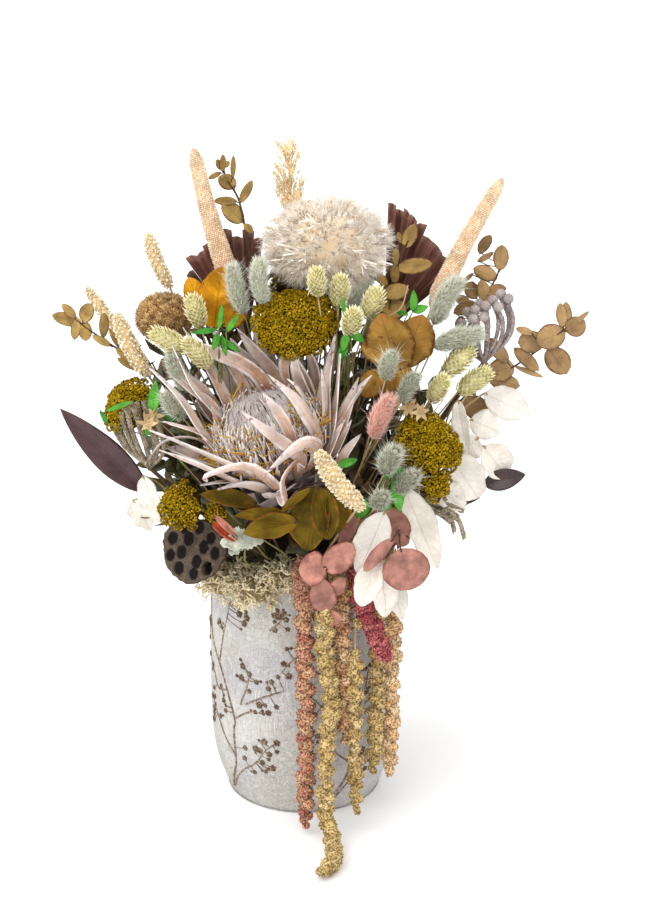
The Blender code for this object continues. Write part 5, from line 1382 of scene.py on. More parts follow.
def makeBunch(name, look, slot, number):
    heads = bunches[name]
    heap = Heap()
    middle = np.mean([head[0] for head in heads], axis=0)
    meet = foamEntry(middle) * 0.55 + middle * 0.45
    for index, (centre, length, width, *tilt) in enumerate(heads):
        centre = np.array(centre, float)
        axis = unit(tilt[0] if tilt else centre - meet)
        if name.startswith("phalaris"):
            phalarisHead(heap, centre, axis, length, width, number * 7 + index)
        else:
            lagurusHead(heap, centre, axis, length, width, number * 7 + index)
        foot = centre - axis * (length / 2 - 2)
        start = meet if len(heads) > 1 else None
        heap.stem(0.8, foot - axis * 2, index, start)
        heap.add(stemShape(np.stack([foot - axis * 2, foot + axis * 3]), 0.8), 1)
    if len(heads) > 1:
        heap.stem(1.2, meet, number)
    dress(name, "Heads", heap, [look, strawStem if name != "lagurus_back_left" else greenStem], slot)


scaleLook = phalarisLook()
tailLook = toneLook("sageHair", lagurus["shades"], 4, 0.1, 0.9, 1.05, rough=1, shine=0.08)
greyLook = toneLook("greyHair", lagurus["grey"], 4, 0.1, 0.9, 1.05, rough=1, shine=0.08)
blushLook = toneLook("blushHair", lagurus["pink"], 4, 0.1, 0.95, 1.05, rough=1, shine=0.08, sheen=0.3)
for number, name in enumerate(bunches):
    if name.startswith("phalaris"):
        makeBunch(name, scaleLook, "phalaris", number)
    else:
        look = {"lagurus_pink": blushLook, "lagurus_grey": greyLook,
            "lagurus_centre": greyLook}.get(name, tailLook)
        makeBunch(name, look, "pink_lagurus" if name == "lagurus_pink" else "lagurus", number)
print("phalaris and lagurus done")


# Brunia: knobby fingers, some with a ball at the tip

brunia = {
    # node: fork, tips, ball radius (0 for rope-like strands)
    "brunia_right": ((158, -34, 423), [(178, -22, 475), (172, -18, 478), (165, -24, 474), (169, -30, 470),
        (159, -28, 470), (154, -22, 470), (150, -30, 467), (157, -34, 462), (148, -36, 461), (144, -26, 464),
        (139, -30, 455)], 4.4),
    "brunia_left": ((-131, -86, 344), [(-164, -72, 390), (-158, -78, 397), (-151, -84, 398), (-146, -88, 403),
        (-140, -92, 405), (-134, -96, 408), (-130, -98, 403), (-168, -68, 381), (-161, -80, 382),
        (-154, -90, 395), (-148, -96, 400), (-142, -100, 403), (-126, -100, 396)], 0),
    "brunia_low": ((100, -96, 318), [(139, -86, 304), (135, -92, 301), (128, -98, 299), (142, -82, 309),
        (124, -88, 317), (119, -96, 307), (112, -100, 302), (141, -88, 280), (132, -90, 287),
        (110, -102, 314), (125, -100, 312)], 0),
    "finger": 2.5, "scale": 1.3,
    "shades": [(0.15, 0.115, 0.072), (0.3, 0.24, 0.165), (0.46, 0.39, 0.29)],
    "lilac": [(0.2, 0.15, 0.14), (0.34, 0.275, 0.255), (0.5, 0.43, 0.41)],
}


def makeBrunia(name, number, look):
    fork, tips, head = brunia[name]
    heap = Heap()
    rng = seeded(number + 50)
    fork = np.array(fork, float)
    heap.stem(2.2, fork, number)
    small = ball(0)
    middle = np.mean(tips, axis=0)
    for tip in tips:
        tip = np.array(tip, float)
        length = norm(tip - fork)
        spread = rng.normal(size=3) * 1.2
        # the strands part low down
        apart = (tip - middle) * (1, 1, 0.4)
        bow = np.array([0.1, 0, 0]) * length if head else np.zeros(3)
        path = splinePath([fork + spread * 0.5,
            fork + (middle - fork) * 0.34 + apart * 0.8 + bow * 0.8 + spread,
            fork + (middle - fork) * 0.72 + apart + bow + spread, tip], 26)
        radius = brunia["finger"] * (0.8 if head else 0.9)
        heap.add(tubes(path, radius * 0.72 * np.linspace(0.5, 1, 26) ** 0.5, 7, 0.2))
        count = int(length * 3.7)
        level = shares(count) * 0.93 + 0.07
        turn = np.arange(count) * golden
        axis = unit(tip - fork)
        frameOf = basisOf(axis)
        out = roundAxis(turn, frameOf)
        spots = onPath(path, level)
        spots = spots + out * (radius * 0.72 * level ** 0.4)[:, None]
        way = unit(out * 0.5 + axis)
        sizes = brunia["scale"] * rng.uniform(0.75, 1.1, count)
        heap.add(stamped(small, spots, turns(way, out), sizes[:, None] * (1, 1.5, 0.8),
            rng.uniform(0.2, 1, count)))
        if head:
            heap.add(stamped(ball(2), [tip + axis * head * 0.5], turns(axis[None], [0, 0, 1]), head, 0.9))
            ways = sphereSpots(46, rng)
            heap.add(stamped(small, tip + axis * head * 0.5 + ways * head * 0.97, turns(ways, axis), 0.9,
                rng.uniform(0.7, 1, 46)))
    dress(name, "Fingers", heap, [look, darkStem], "brunia")


ropeLook = toneLook("taupeFinger", brunia["shades"], 1.5, 0.3, 0.75, 1.15, rough=0.92)
lilacLook = toneLook("lilacFinger", brunia["lilac"], 1.5, 0.3, 0.75, 1.15, rough=0.92)
makeBrunia("brunia_right", 1, lilacLook)
makeBrunia("brunia_left", 2, ropeLook)
makeBrunia("brunia_low", 3, ropeLook)
print("brunia done")


# Palm fans: pleated strips from one root, cut short

palm = {
    # node: root, the two edge tips and the middle one
    "palm_left": ((-50, 32, 420), [(-104, 34, 484), (-80, 44, 526), (-34, 44, 522)], 9),
    "palm_right": ((72, 30, 430), [(76, 46, 556), (106, 44, 534), (130, 34, 480)], 9),
    "fold": 5.2, "thick": 0.7,
}


def palmLook():
    look = Look("burgundyPalm", 0.6, 0.3)
    streak = look.noise(0.12, 4, (1, 9, 1), source=look.key)
    look.colour = (0.085, 0.025, 0.017)
    look.lay((0.23, 0.095, 0.068), look.fit(streak, 0.36, 0.66))
    look.lay((0.26, 0.13, 0.105), look.tone)
    look.lay((0.24, 0.13, 0.085), look.fit(look.along, 0.93, 1, 0, 0.6))
    look.wear(18, 0.7, 1.3)
    return look.done(streak, 0.4)


def makePalm(name, number):
    root, tips, strips = palm[name]
    root = np.array(root, float)
    arms = [np.array(tip, float) - root for tip in tips]
    rng = seeded(number)
    normal = unit(np.cross(arms[0], arms[2]))
    heap = Heap()

    def ray(share):
        near, far, local = (arms[0], arms[1], share * 2) if share < 0.5 else (arms[1], arms[2], share * 2 - 1)
        way = unit(unit(near) * (1 - local) + unit(far) * local)
        return way, norm(near) * (1 - local) + norm(far) * local

    stations = 12
    for strip in range(strips):
        share = (strip + 0.5) / strips
        way, length = ray(share)
        length = length * rng.uniform(0.9, 1.03)
        level = np.linspace(0.1, 1, stations)
        half = 0.5 / strips * 1.08
        left, _ = ray(max(share - half, 0))
        right, _ = ray(min(share + half, 1))
        lean = normal * rng.normal() * 3
        sag = (level**2)[:, None] * (normal * rng.normal() * 3 + np.array([0, 0, -2]) * rng.uniform(0, 1))
        ridge = (root + way * (level * length)[:, None] + normal * (palm["fold"] * level**0.7)[:, None]
            + lean * level[:, None] + sag)
        cut = rng.uniform(-0.02, 0.03)
        sides = [root + edge * (level * length * (1 + cut * hand))[:, None]
            - normal * (palm["fold"] * 0.6 * level**0.7)[:, None] + lean * level[:, None] + sag
            for edge, hand in ((left, 1), (right, -1))]
        columns = np.stack([sides[0], (sides[0] + ridge) / 2, ridge, (sides[1] + ridge) / 2, sides[1]],
            axis=1)
        layers = [columns + normal * palm["thick"] / 2, columns - normal * palm["thick"] / 2]
        points = np.concatenate([layer.reshape(-1, 3) for layer in layers])
        keys = np.zeros((stations, 5, 3))
        keys[..., 0] = np.linspace(-1, 1, 5)
        keys[..., 1] = level[:, None]
        keys[..., 2] = rng.uniform(0, 0.55)
        keys[..., 0] += strip * 3
        heap.add((points, sheetFaces(stations, 5), np.concatenate([keys.reshape(-1, 3)] * 2)))
    middle = unit(arms[1])
    heap.add(stemShape(np.stack([root - middle * 14, root, root + middle * 22]), 3.6, 0.2, 8), 1)
    heap.stem(2.6, root - middle * 12, number, sides=8)
    dress(name, "Fan", heap, [palmLook(), darkStem], "palm")


makePalm("palm_left", 1)
makePalm("palm_right", 2)
print("palms done")


# Eucalyptus: the stem's way, then base, tip's x and z, and width of each leaf, whose tip is 3 mm forward

eucalyptus = {
    "eucalyptus_top_left": ([(-46, 22, 498), (-55, 26, 550), (-67, 30, 572), (-70, 33, 589)],
        [(-70, 30, 577, -69, 593, 6), (-72, 30, 579, -74, 589, 5), (-69, 30, 581, -64, 587, 5),
        (-71, 30, 577, -82, 572, 5), (-58, 30, 564, -73, 573, 14), (-61, 30, 571, -60, 592, 5),
        (-57, 26, 552, -77, 553, 8), (-55, 26, 550, -44, 571, 8), (-52, 26, 533, -70, 551, 17),
        (-44, 22, 525, -51, 533, 7)]),
    "eucalyptus_top_right": ([(148, 4, 448), (160, 12, 468), (171, 18, 485), (175, 22, 498)],
        [(174, 18, 491, 175, 515, 14), (172, 18, 484, 151, 494, 14), (161, 12, 472, 179, 478, 12),
        (163, 12, 462, 157, 485, 12), (154, 12, 467, 146, 483, 13), (156, 22, 505, 165, 523, 11),
        (154, 22, 498, 168, 507, 6), (151, 18, 489, 142, 482, 4), (151, 12, 483, 141, 477, 5),
        (133, 4, 456, 152, 467, 12), (148, 12, 465, 135, 468, 9), (141, 4, 454, 137, 442, 9)]),
    "eucalyptus_right": ([(128, -34, 377), (152, -26, 397), (186, -20, 415), (212, -18, 434),
        (232, -18, 451)], [(186, -20, 415, 163, 409, 21), (163, -26, 405, 190, 400, 15),
        (152, -26, 394, 162, 420, 16), (141, -26, 388, 166, 369, 21), (181, -20, 418, 162, 441, 13),
        (185, -20, 432, 207, 412, 12), (186, -20, 415, 211, 406, 5), (202, -18, 444, 187, 450, 7),
        (213, -18, 438, 189, 437, 20), (230, -18, 447, 205, 437, 23), (215, -18, 431, 232, 409, 23),
        (228, -18, 449, 224, 472, 10), (232, -18, 450, 229, 473, 9), (230, -18, 446, 246, 456, 19),
        (232, -18, 449, 249, 465, 5), (152, -26, 389, 140, 407, 11)]),
    "eucalyptus_left": ([(-116, -26, 393), (-143, -16, 418), (-165, -12, 430), (-186, -12, 445),
        (-198, -12, 455)], [(-193, -12, 451, -218, 460, 12), (-198, -12, 456, -209, 470, 8),
        (-197, -12, 457, -200, 438, 9), (-191, -12, 454, -190, 437, 12), (-193, -12, 453, -184, 470, 14),
        (-175, -12, 438, -173, 462, 9), (-168, -12, 431, -184, 441, 7), (-161, -12, 429, -169, 448, 5),
        (-148, -16, 421, -163, 430, 9), (-144, -16, 410, -162, 422, 7), (-133, -16, 414, -154, 440, 5),
        (-140, -16, 418, -157, 423, 8)]),
    "eucalyptus_middle": ([(73, -18, 448), (77, -12, 473), (83, -6, 501), (92, -2, 524)],
        [(89, -2, 517, 97, 539, 13), (82, -6, 500, 112, 505, 14), (93, -12, 483, 70, 479, 15),
        (80, -12, 488, 80, 506, 9), (66, -12, 471, 90, 463, 19), (82, -6, 502, 81, 519, 8),
        (73, -12, 485, 66, 499, 8), (87, -2, 521, 83, 532, 5)]),
    # the sprig at the back has pairs along its stem
    "eucalyptus_back": ([(0, 86, 400), (-6, 110, 452), (-8, 120, 506)], []),
    "pairs": 6, "pairLeaf": (29, 19),
}


def pairedLeaves(path, rng):
    leaves = []
    long, wide = eucalyptus["pairLeaf"]
    for pair in range(eucalyptus["pairs"]):
        at = int((0.16 + 0.8 * pair / (eucalyptus["pairs"] - 1)) * 29)
        ahead = unit(path[min(at + 1, 29)] - path[at - 1])
        level = unit(np.cross(ahead, [0, 0.6, 0.6]))
        if pair % 2:
            level = unit(level * 0.6 + np.cross(ahead, level) * 0.8)
        for hand in (1, -1):
            size = (1 - 0.05 * pair) * rng.uniform(0.82, 1.08)
            base = path[at] + level * hand * 2
            way = unit(level * hand + ahead * rng.uniform(0.2, 0.7))
            leaves.append((base, base + way * long * size, wide * size))
    return leaves


def makeSpray(name, number, look):
    points, leaves = eucalyptus[name]
    rng = seeded(number + 80)
    heap = Heap()
    path = splinePath(points, 30)
    heap.add(stemShape(path, 0.95, 0.3), 1)
    heap.stem(1.4, points[0], number, tone=0.3)
    listed = [((x, y, z), (tipX, y - 3, tipZ), wide) for x, y, z, tipX, tipZ, wide in leaves]
    for index, (base, tip, wide) in enumerate(listed or pairedLeaves(path, rng)):
        base, tip = np.array(base, float), np.array(tip, float)
        near = path[norm(path - base, axis=1).argmin()]
        facing = np.array([rng.uniform(-0.5, 0.5), 0.8 if points[0][1] > 60 else -0.9, rng.uniform(0.1, 0.6)])
        bend = rng.uniform(-0.5, 0.5)
        lean = unit(unit(tip - base) - unit(facing) * bend / 2)
        leaf = leafShape(norm(tip - base) * 1.03, wide, oval(0.5, 0.55), 6, 10, cup=rng.uniform(-0.25, 0.25),
            bend=bend, twist=rng.uniform(-0.2, 0.2), thick=0.5, notch=0.015, seed=index)
        heap.add(placed(leaf, base, lean, facing), 0, rng.uniform(0, 1))
        if norm(near - base) > 0.5:
            heap.add(tubes(splinePath([near, (near + base) / 2 - [0, 0, 1], base + lean * 2], 6),
                0.5, 5, 0.4), 1)
    dress(name, "Spray", heap, [look, darkStem], "eucalyptus")


gumLook = leafLook("brownGumLeaf", ((0.33, 0.195, 0.085), (0.2, 0.115, 0.052), (0.45, 0.29, 0.125)),
    (0.19, 0.1, 0.045), (0.14, 0.08, 0.04), patches=14, rib=0.045, veins=6, lines=0.28, rough=0.7)
goldGumLook = leafLook("goldenGumLeaf", ((0.42, 0.26, 0.07), (0.27, 0.17, 0.055), (0.52, 0.34, 0.11)),
    (0.22, 0.12, 0.045), (0.2, 0.12, 0.05), patches=10, rib=0.045, veins=6, lines=0.28, rough=0.7)
for number, name in enumerate(nodesOf(eucalyptus)):
    isGolden = name in ("eucalyptus_middle", "eucalyptus_top_left", "eucalyptus_left")
    makeSpray(name, number, goldGumLook if isGolden else gumLook)
print("eucalyptus done")


# Broad leaves: foot and radius of the stem, then base, tip, width and facing of each leaf

broad = {
    "dark_leaf_left": ((-134, -58, 308), 1.8, [(-137, -52, 309, -211, -46, 380, 28, -0.35, -0.8, 0.6),
        (-144, -44, 319, -198, -34, 366, 18, 0.1, -0.7, 0.7)]),
    "dark_leaf_right": ((132, -52, 318), 1.6, [(159, -58, 318, 195, -54, 327, 19, 0, -0.9, 0.45),
        (140, -56, 299, 156, -54, 305, 4, 0, -0.7, 0.7), (116, -70, 339, 133, -66, 364, 7, 0.3, -0.9, 0.2)]),
    "white_leaves_right": ((120, -42, 340), 1.6, [(159, -30, 393, 200, -28, 374, 29, 0.2, -0.9, 0.3),
        (128, -70, 350, 153, -76, 311, 36, 0.15, -1, 0.15),
        (158, -52, 352, 179, -50, 322, 31, 0.4, -0.9, 0.3), (153, -58, 362, 136, -62, 346, 25, 0, -0.9, 0.4),
        (134, -72, 401, 142, -74, 356, 16, -0.3, -0.9, 0.1),
        (112, -84, 329, 141, -84, 306, 26, 0.1, -0.9, 0.5),
        (147, -40, 372, 173, -40, 361, 27, 0.2, -0.9, 0.4)]),
    "white_leaves_low": ((-104, -66, 290), 1.4, [(-137, -86, 337, -122, -92, 295, 22, -0.4, -0.9, 0.2),
        (-149, -50, 301, -135, -52, 273, 22, -0.5, -0.8, 0.2)]),
    "white_leaves_front": ((56, -112, 288), 1.6, [(70, -132, 322, 48, -140, 269, 30, -0.3, -1, 0.1),
        (66, -140, 283, 51, -142, 238, 24, -0.5, -1, 0.1), (66, -142, 283, 74, -147, 230, 25, 0.1, -1, 0),
        (70, -138, 281, 86, -138, 227, 22, 0.5, -1, 0), (87, -112, 336, 116, -112, 264, 29, 0.3, -1, 0.1)]),
    "pink_eucalyptus_left": ((22, -118, 268), 1.3, [(21, -138, 274, -2, -142, 274, 31, -0.1, -1, 0.2),
        (20, -138, 270, 42, -142, 296, 24, 0.1, -1, 0.2), (20, -126, 227, 16, -134, 261, 23, 0, -1, 0.1),
        (25, -128, 243, 35, -132, 261, 15, 0.2, -1, 0.1), (14, -124, 226, 34, -124, 216, 14, 0, -1, 0.3)]),
    "pink_eucalyptus_right": ((84, -104, 286), 1.3, [(83, -153, 297, 93, -155, 261, 41, 0.05, -1, 0.1),
        (91, -124, 295, 60, -122, 318, 29, -0.1, -1, 0.3),
        (77, -149, 304, 52, -151, 277, 12, -0.4, -0.9, 0.2),
        (48, -122, 318, 31, -126, 286, 14, -0.5, -0.9, 0.2),
        (83, -122, 299, 87, -122, 286, 14, 0.2, -1, -0.2)]),
    "olive_leaves": ((-30, -104, 300), 1.6, [(-38, -128, 326, -84, -134, 339, 15, 0, -0.8, 0.6),
        (-34, -130, 319, -66, -134, 331, 13, -0.1, -0.6, 0.8),
        (-5, -134, 316, -55, -142, 324, 14, 0, -0.75, 0.65),
        (-3, -138, 315, -48, -146, 309, 22, 0, -0.85, 0.55),
        (14, -128, 343, 6, -134, 287, 36, -0.2, -0.95, 0.2),
        (13, -140, 348, 22, -146, 303, 24, 0.25, -0.9, 0.3),
        (22, -132, 349, 31, -132, 303, 24, 0.5, -0.85, 0.1),
        (9, -136, 345, -17, -138, 322, 8, -0.2, -0.7, 0.7)]),
    "amber_leaf_left": ((-58, -30, 448), 1.4, [(-76, -42, 455, -71, -36, 508, 36, 0.1, -1, 0.15),
        (-82, -36, 464, -97, -26, 497, 22, -0.3, -0.9, 0.3),
        (-69, -44, 459, -50, -40, 481, 25, 0.5, -0.9, 0.1)]),
    "amber_leaf_right": ((66, -62, 412), 1.5, [(84, -80, 430, 66, -90, 482, 42, -0.15, -1, 0.2),
        (86, -78, 432, 100, -86, 480, 38, 0.15, -1, 0.2), (83, -84, 443, 51, -90, 457, 25, -0.3, -1, 0.3),
        (83, -78, 440, 76, -84, 402, 36, 0, -1, 0.1), (68, -82, 432, 51, -86, 410, 22, -0.2, -1, 0)]),
    "white_leaves_back": ((30, 92, 306), 1.5, [(34, 104, 314, 48, 148, 344, 40, 0.2, 1, 0.4),
        (20, 104, 308, -8, 142, 322, 38, -0.2, 1, 0.4), (40, 100, 308, 84, 132, 312, 36, 0.4, 1, 0.2)]),
}
leafForms = {
    # outline, fold, cup, ripple, curl, roughness of the edge
    "amber": (oval(0.5, 0.6), 0.1, 0.1, 0.05, 0.2, 0.03),
    "dark": (oval(0.42, 0.8), 0.25, 0, 0.02, 0.3, 0),
    "white": (oval(0.44, 0.7), 0.16, 0.22, 0.07, 0.5, 0.05),
    "pink": (oval(0.48, 0.52), 0.05, 0.15, 0.02, 0.2, 0.02),
    "olive": (oval(0.46, 0.72), 0.22, 0.75, 0.06, 0.6, 0.03),
}


def makeBroad(name, number, look, stem, slot):
    foot, radius, leaves = broad[name]
    outline, fold, cup, ripple, curl, edge = leafForms[name.split("_")[0]]
    rng = seeded(number + 30)
    heap = Heap()
    heap.stem(radius, foot, number)
    foot = np.array(foot, float)
    for index, (base, tip, width, *facing) in enumerate(rowsOf(leaves)):
        facing = unit(facing)
        ahead = unit(tip - base)
        knee = (foot + base) / 2 + [0, 0, 0.12 * norm(base - foot)] - ahead * 3
        heap.add(tubes(splinePath([foot, knee, base, base + ahead * 3], 10), radius * 0.55, 6, 0.3), 1)
        bend = rng.uniform(-0.25, 0.55)
        leaf = leafShape(norm(tip - base) * 1.03, width, outline, 10, 16, fold=fold,
            cup=cup * rng.uniform(0.5, 1.3), bend=-bend, curl=-curl * rng.uniform(-0.3, 0.8),
            twist=rng.uniform(-0.25, 0.25), ripple=ripple, sway=rng.uniform(-0.05, 0.05), notch=edge,
            thick=0.55, seed=index + number * 9)
        heap.add(placed(leaf, base, unit(ahead + facing * bend / 2), facing), 0, rng.uniform(0, 0.8))
    dress(name, "Blades", heap, [look, stem], slot)


broadLooks = {
    "amber": (leafLook("amberLeaf", ((0.74, 0.36, 0.012), (0.52, 0.21, 0.012), (0.78, 0.46, 0.04)),
        (0.36, 0.14, 0.012), (0.3, 0.12, 0.01), tip=(0.62, 0.28, 0.02), patches=14, rib=0.035, veins=7,
        lines=0.45, rough=0.95, shine=0.03), darkStem, "amber_leaf"),
    "amberRight": (leafLook("brownAmberLeaf", ((0.34, 0.165, 0.027), (0.19, 0.085, 0.017),
        (0.42, 0.24, 0.05)), (0.13, 0.052, 0.012), (0.16, 0.07, 0.012), tip=(0.3, 0.14, 0.03), patches=14,
        rib=0.035, veins=7, lines=0.45, rough=0.75, shine=0.12), darkStem, "amber_leaf"),
    "dark": (leafLook("burgundyLeaf", ((0.03, 0.01, 0.012), (0.055, 0.018, 0.018), (0.075, 0.025, 0.03)),
        (0.04, 0.012, 0.012), (0.12, 0.06, 0.055), patches=16, rib=0.05, veins=9, lines=0.3, rough=0.38,
        shine=0.5, coat=0.15), darkStem, "dark_leaf"),
    "white": (leafLook("bleachedLeaf", ((0.9, 0.85, 0.77), (0.83, 0.76, 0.66), (0.92, 0.88, 0.82)),
        (0.86, 0.79, 0.69), (0.68, 0.57, 0.43), patches=12, rib=0.04, veins=8, dark=0.86, light=1.04,
        lines=0.26, depth=0.8, rough=0.85, shine=0.1), strawStem, "white_leaf"),
    "pink": (leafLook("dustyPinkLeaf", ((0.5, 0.225, 0.165), (0.4, 0.175, 0.135), (0.27, 0.135, 0.12)),
        (0.3, 0.11, 0.08), (0.34, 0.15, 0.13), patches=7, rib=0.03, veins=5, lines=0.25, rough=0.75),
        darkStem, "pink_leaf"),
    "olive": (leafLook("oliveLeaf", ((0.145, 0.092, 0.007), (0.065, 0.045, 0.006), (0.22, 0.14, 0.012)),
        (0.3, 0.1, 0.018), (0.05, 0.035, 0.006), patches=12, rib=0.04, veins=6, lines=0.35, edgeStart=0.9,
        rough=0.8, shine=0.1), darkStem, "olive_leaf"),
}
for number, name in enumerate(broad):
    look, stem, slot = broadLooks["amberRight" if name == "amber_leaf_right" else name.split("_")[0]]
    makeBroad(name, number, look, stem, slot)
print("broad leaves done")


# Green sprigs: base, tip and width of each leaf

greens = {
    "greens_left": [(-127, -100, 398, -123, -98, 427, 11), (-144, -96, 408, -167, -92, 398, 5),
        (-165, -96, 388, -172, -92, 399, 4), (-127, -98, 396, -133, -100, 377, 7),
        (-117, -98, 396, -103, -98, 401, 14), (-70, -84, 468, -67, -80, 489, 5),
        (-64, -82, 465, -53, -80, 480, 6), (-71, -84, 468, -94, -84, 465, 5),
        (-70, -84, 465, -75, -84, 450, 7), (-68, -82, 463, -64, -84, 445, 6),
        (-68, -80, 458, -52, -80, 447, 6)],
    "greens_back": [(39, -92, 477, 33, -88, 498, 5), (41, -92, 470, 51, -90, 482, 7),
        (39, -92, 468, 34, -92, 451, 8), (41, -94, 469, 52, -92, 460, 8), (37, -92, 457, 31, -90, 441, 9),
        (94, -66, 478, 95, -62, 496, 8), (94, -66, 478, 107, -62, 482, 8), (90, -68, 477, 80, -66, 478, 5)],
    "greens_front": [(82, -132, 363, 86, -134, 335, 13), (78, -130, 352, 83, -132, 322, 12),
        (79, -128, 365, 69, -128, 349, 8), (59, -126, 330, 76, -128, 324, 14),
        (54, -122, 329, 48, -124, 311, 13), (100, -120, 355, 117, -118, 365, 5),
        (30, -126, 361, 47, -124, 366, 8)],
}


def makeGreens(name, number, look):
    heap = Heap()
    rng = seeded(number + 60)
    leaves = greens[name]
    middle = np.mean([leaf[:3] for leaf in leaves], axis=0)
    meet = foamEntry(middle) * 0.5 + middle * 0.5
    heap.stem(1.1, meet, number)
    for index, (base, tip, width) in enumerate(rowsOf(leaves)):
        heap.stem(0.6, base, index, meet)
        facing = unit([rng.uniform(-0.5, 0.5), -0.9, rng.uniform(0, 0.6)])
        bend = rng.uniform(-0.4, 0.5)
        shape = leafShape(norm(tip - base) * 1.03, width, oval(0.42, 0.8), 4, 8, fold=0.22, bend=-bend,
            thick=0.45, seed=index)
        heap.add(placed(shape, base, unit(unit(tip - base) + facing * bend / 2), facing), 0,
            rng.uniform(0, 1))
    dress(name, "Sprig", heap, [look, greenStem], "green_leaf")


greenLook = leafLook("brightGreenLeaf", ((0.045, 0.27, 0.02), (0.022, 0.15, 0.014), (0.1, 0.38, 0.035)),
    (0.03, 0.18, 0.02), (0.1, 0.38, 0.05), patches=6, rib=0.08, veins=5, rough=0.55)
for number, name in enumerate(greens):
    makeGreens(name, number, greenLook)
print("greens done")


# Amaranth tails: knots of grains strung on a stalk, over the rim and down the wall

amaranth = {
    # node: tails as (half width, way, thin stretch with bare stalk)
    "amaranth_peach": [(8.8, [(2, -72, 250), (2, -100, 251), (2, -112, 225), (3, -112, 110), (2, -111, 8)],
        None)],
    "amaranth_gold": [(8, [(18, -76, 250), (21, -104, 253), (20, -120, 228), (19, -121, 185), (25, -121, 140),
        (21, -121, 92), (20, -122, 34), (27, -146, 10), (27, -172, 9), (15, -193, 9)], None)],
    "amaranth_pair": [(8.8, [(30, -70, 248), (34, -94, 250), (34, -106, 226), (37, -108, 160),
        (38, -108, 92)], None), (7.6, [(38, -72, 248), (43, -96, 251), (46, -111, 226), (46, -111, 120),
        (48, -110, 20)], (0.24, 0.62))],
    "amaranth_olive": [(8.2, [(46, -58, 248), (60, -79, 249), (66, -89, 226), (66, -89, 130), (62, -88, 50)],
        None), (9, [(60, -46, 248), (77, -65, 250), (80, -74, 226), (79, -74, 130), (78, -75, 40)], None)],
    "amaranth_magenta": [(8.6, [(42, -70, 250), (46, -97, 252), (50, -112, 231), (60, -112, 208),
        (69, -109, 186), (72, -107, 174)], None)],
    "step": 3.1, "grains": 54, "grain": 1.05,
    "peach": [(0.3, 0.06, 0.06), (0.56, 0.23, 0.16), (0.72, 0.44, 0.26), (0.84, 0.66, 0.4)],
    "gold": [(0.33, 0.2, 0.07), (0.61, 0.42, 0.16), (0.79, 0.59, 0.27), (0.9, 0.74, 0.44)],
    "magenta": [(0.22, 0.03, 0.04), (0.48, 0.09, 0.11), (0.65, 0.19, 0.19), (0.78, 0.4, 0.3)],
    "rust": [(0.36, 0.14, 0.07), (0.66, 0.36, 0.19), (0.82, 0.56, 0.32), (0.92, 0.74, 0.48)],
    "apricot": [(0.56, 0.29, 0.12), (0.92, 0.58, 0.3), (0.98, 0.75, 0.46), (0.99, 0.88, 0.66)],
}


def grainLook(name, shades):
    # packed grains, with painted shade in the gaps between them
    look = Look(name, 0.95, 0.1)
    look.ramp(look.tone, *zip(np.linspace(0, 1, len(shades)), shades))
    look.wear(11, 0.85, 1.2)
    cell = look.cells(2)
    # darkest shade, dimmed further, in the cell gaps: painted shade between the grains
    look.lay([part * 0.45 for part in shades[0]], look.fit(cell, 0.4, 0.72, 0, 0.8))
    return look.done(look.calc("SUBTRACT", 1, cell), 1.3)


def makeTail(heap, radius, way, bare, seed, skin=0):
    rng = seeded(seed)
    length = sum(norm(np.subtract(b, a)) for a, b in zip(way, way[1:]))
    path = splinePath(way, int(length / 3))
    heap.add(tubes(path, 0.9, 6, 0.3), 1)
    lumps = int(length / amaranth["step"])
    level = shares(lumps)
    if bare:
        keep = (level < bare[0]) | (level > bare[1]) | (np.arange(lumps) % 9 == 0)
        level = level[keep]
    turn = np.arange(len(level)) * golden + rng.uniform(-0.5, 0.5, len(level))
    # fuller above than below
    radius = radius * (1.2 - 0.22 * level)
    swell = 1 + 0.14 * np.sin(level * length / 9 + seed) + rng.normal(size=len(level)) * 0.07
    taper = np.minimum(1, 0.5 + (1 - level) * 9) * np.minimum(1, 0.65 + level * 5)
    spots = onPath(path, level)
    frames = turns(onPath(np.gradient(path, axis=0), level), [0.2, -1, 0.1])
    aside = roundAxis(turn, frames)
    shift = aside * (radius * 0.34 * swell * taper)[:, None]
    spots = spots + shift
    sizes = radius * 0.7 * rng.uniform(0.84, 1.1, len(level)) * taper
    spots[:, 2] = np.maximum(spots[:, 2], sizes + 0.6)
    heap.add(stamped(ball(2), spots, turns(rng.normal(size=spots.shape), [0, 0, 1]), sizes * 0.95,
        rng.uniform(0.3, 0.8, len(spots))), skin)
    count = amaranth["grains"]
    around = np.tile(sphereSpots(count, rng), (len(spots), 1))
    around = unit(jitter(around, rng, 0.12))
    big = each(sizes, count)
    grains = each(spots, count) + around * (big * rng.uniform(0.93, 1.04, len(big)))[:, None]
    # only the outer grains are kept
    line = each(spots - shift, count)
    shown = norm(grains - line, axis=1) > 0.62 * each(radius * taper, count)
    shown |= each(sizes / radius, count) < 0.4
    # and not those against the wall
    outward = unit(line * (1, 1, 0))
    shown &= (unit(grains - line) * outward).sum(axis=1) > -0.55
    grains, around, big = grains[shown], around[shown], big[shown]
    tones = rng.normal(0.58, 0.17, len(big))
    tones = np.clip(tones + each(rng.uniform(-0.26, 0.24, len(spots)), count)[shown], 0, 1)
    grain = amaranth["grain"] * rng.uniform(0.75, 1.15, len(big))
    low = grains[:, 2] - 1.2
    grains[:, 2] = np.where(low < 0, grains[:, 2] - low, grains[:, 2])
    heap.add(stamped(ball(0), grains, turns(around, [0.2, 0.1, 1]), grain[:, None] * (1, 0.9, 1), tones),
        skin)


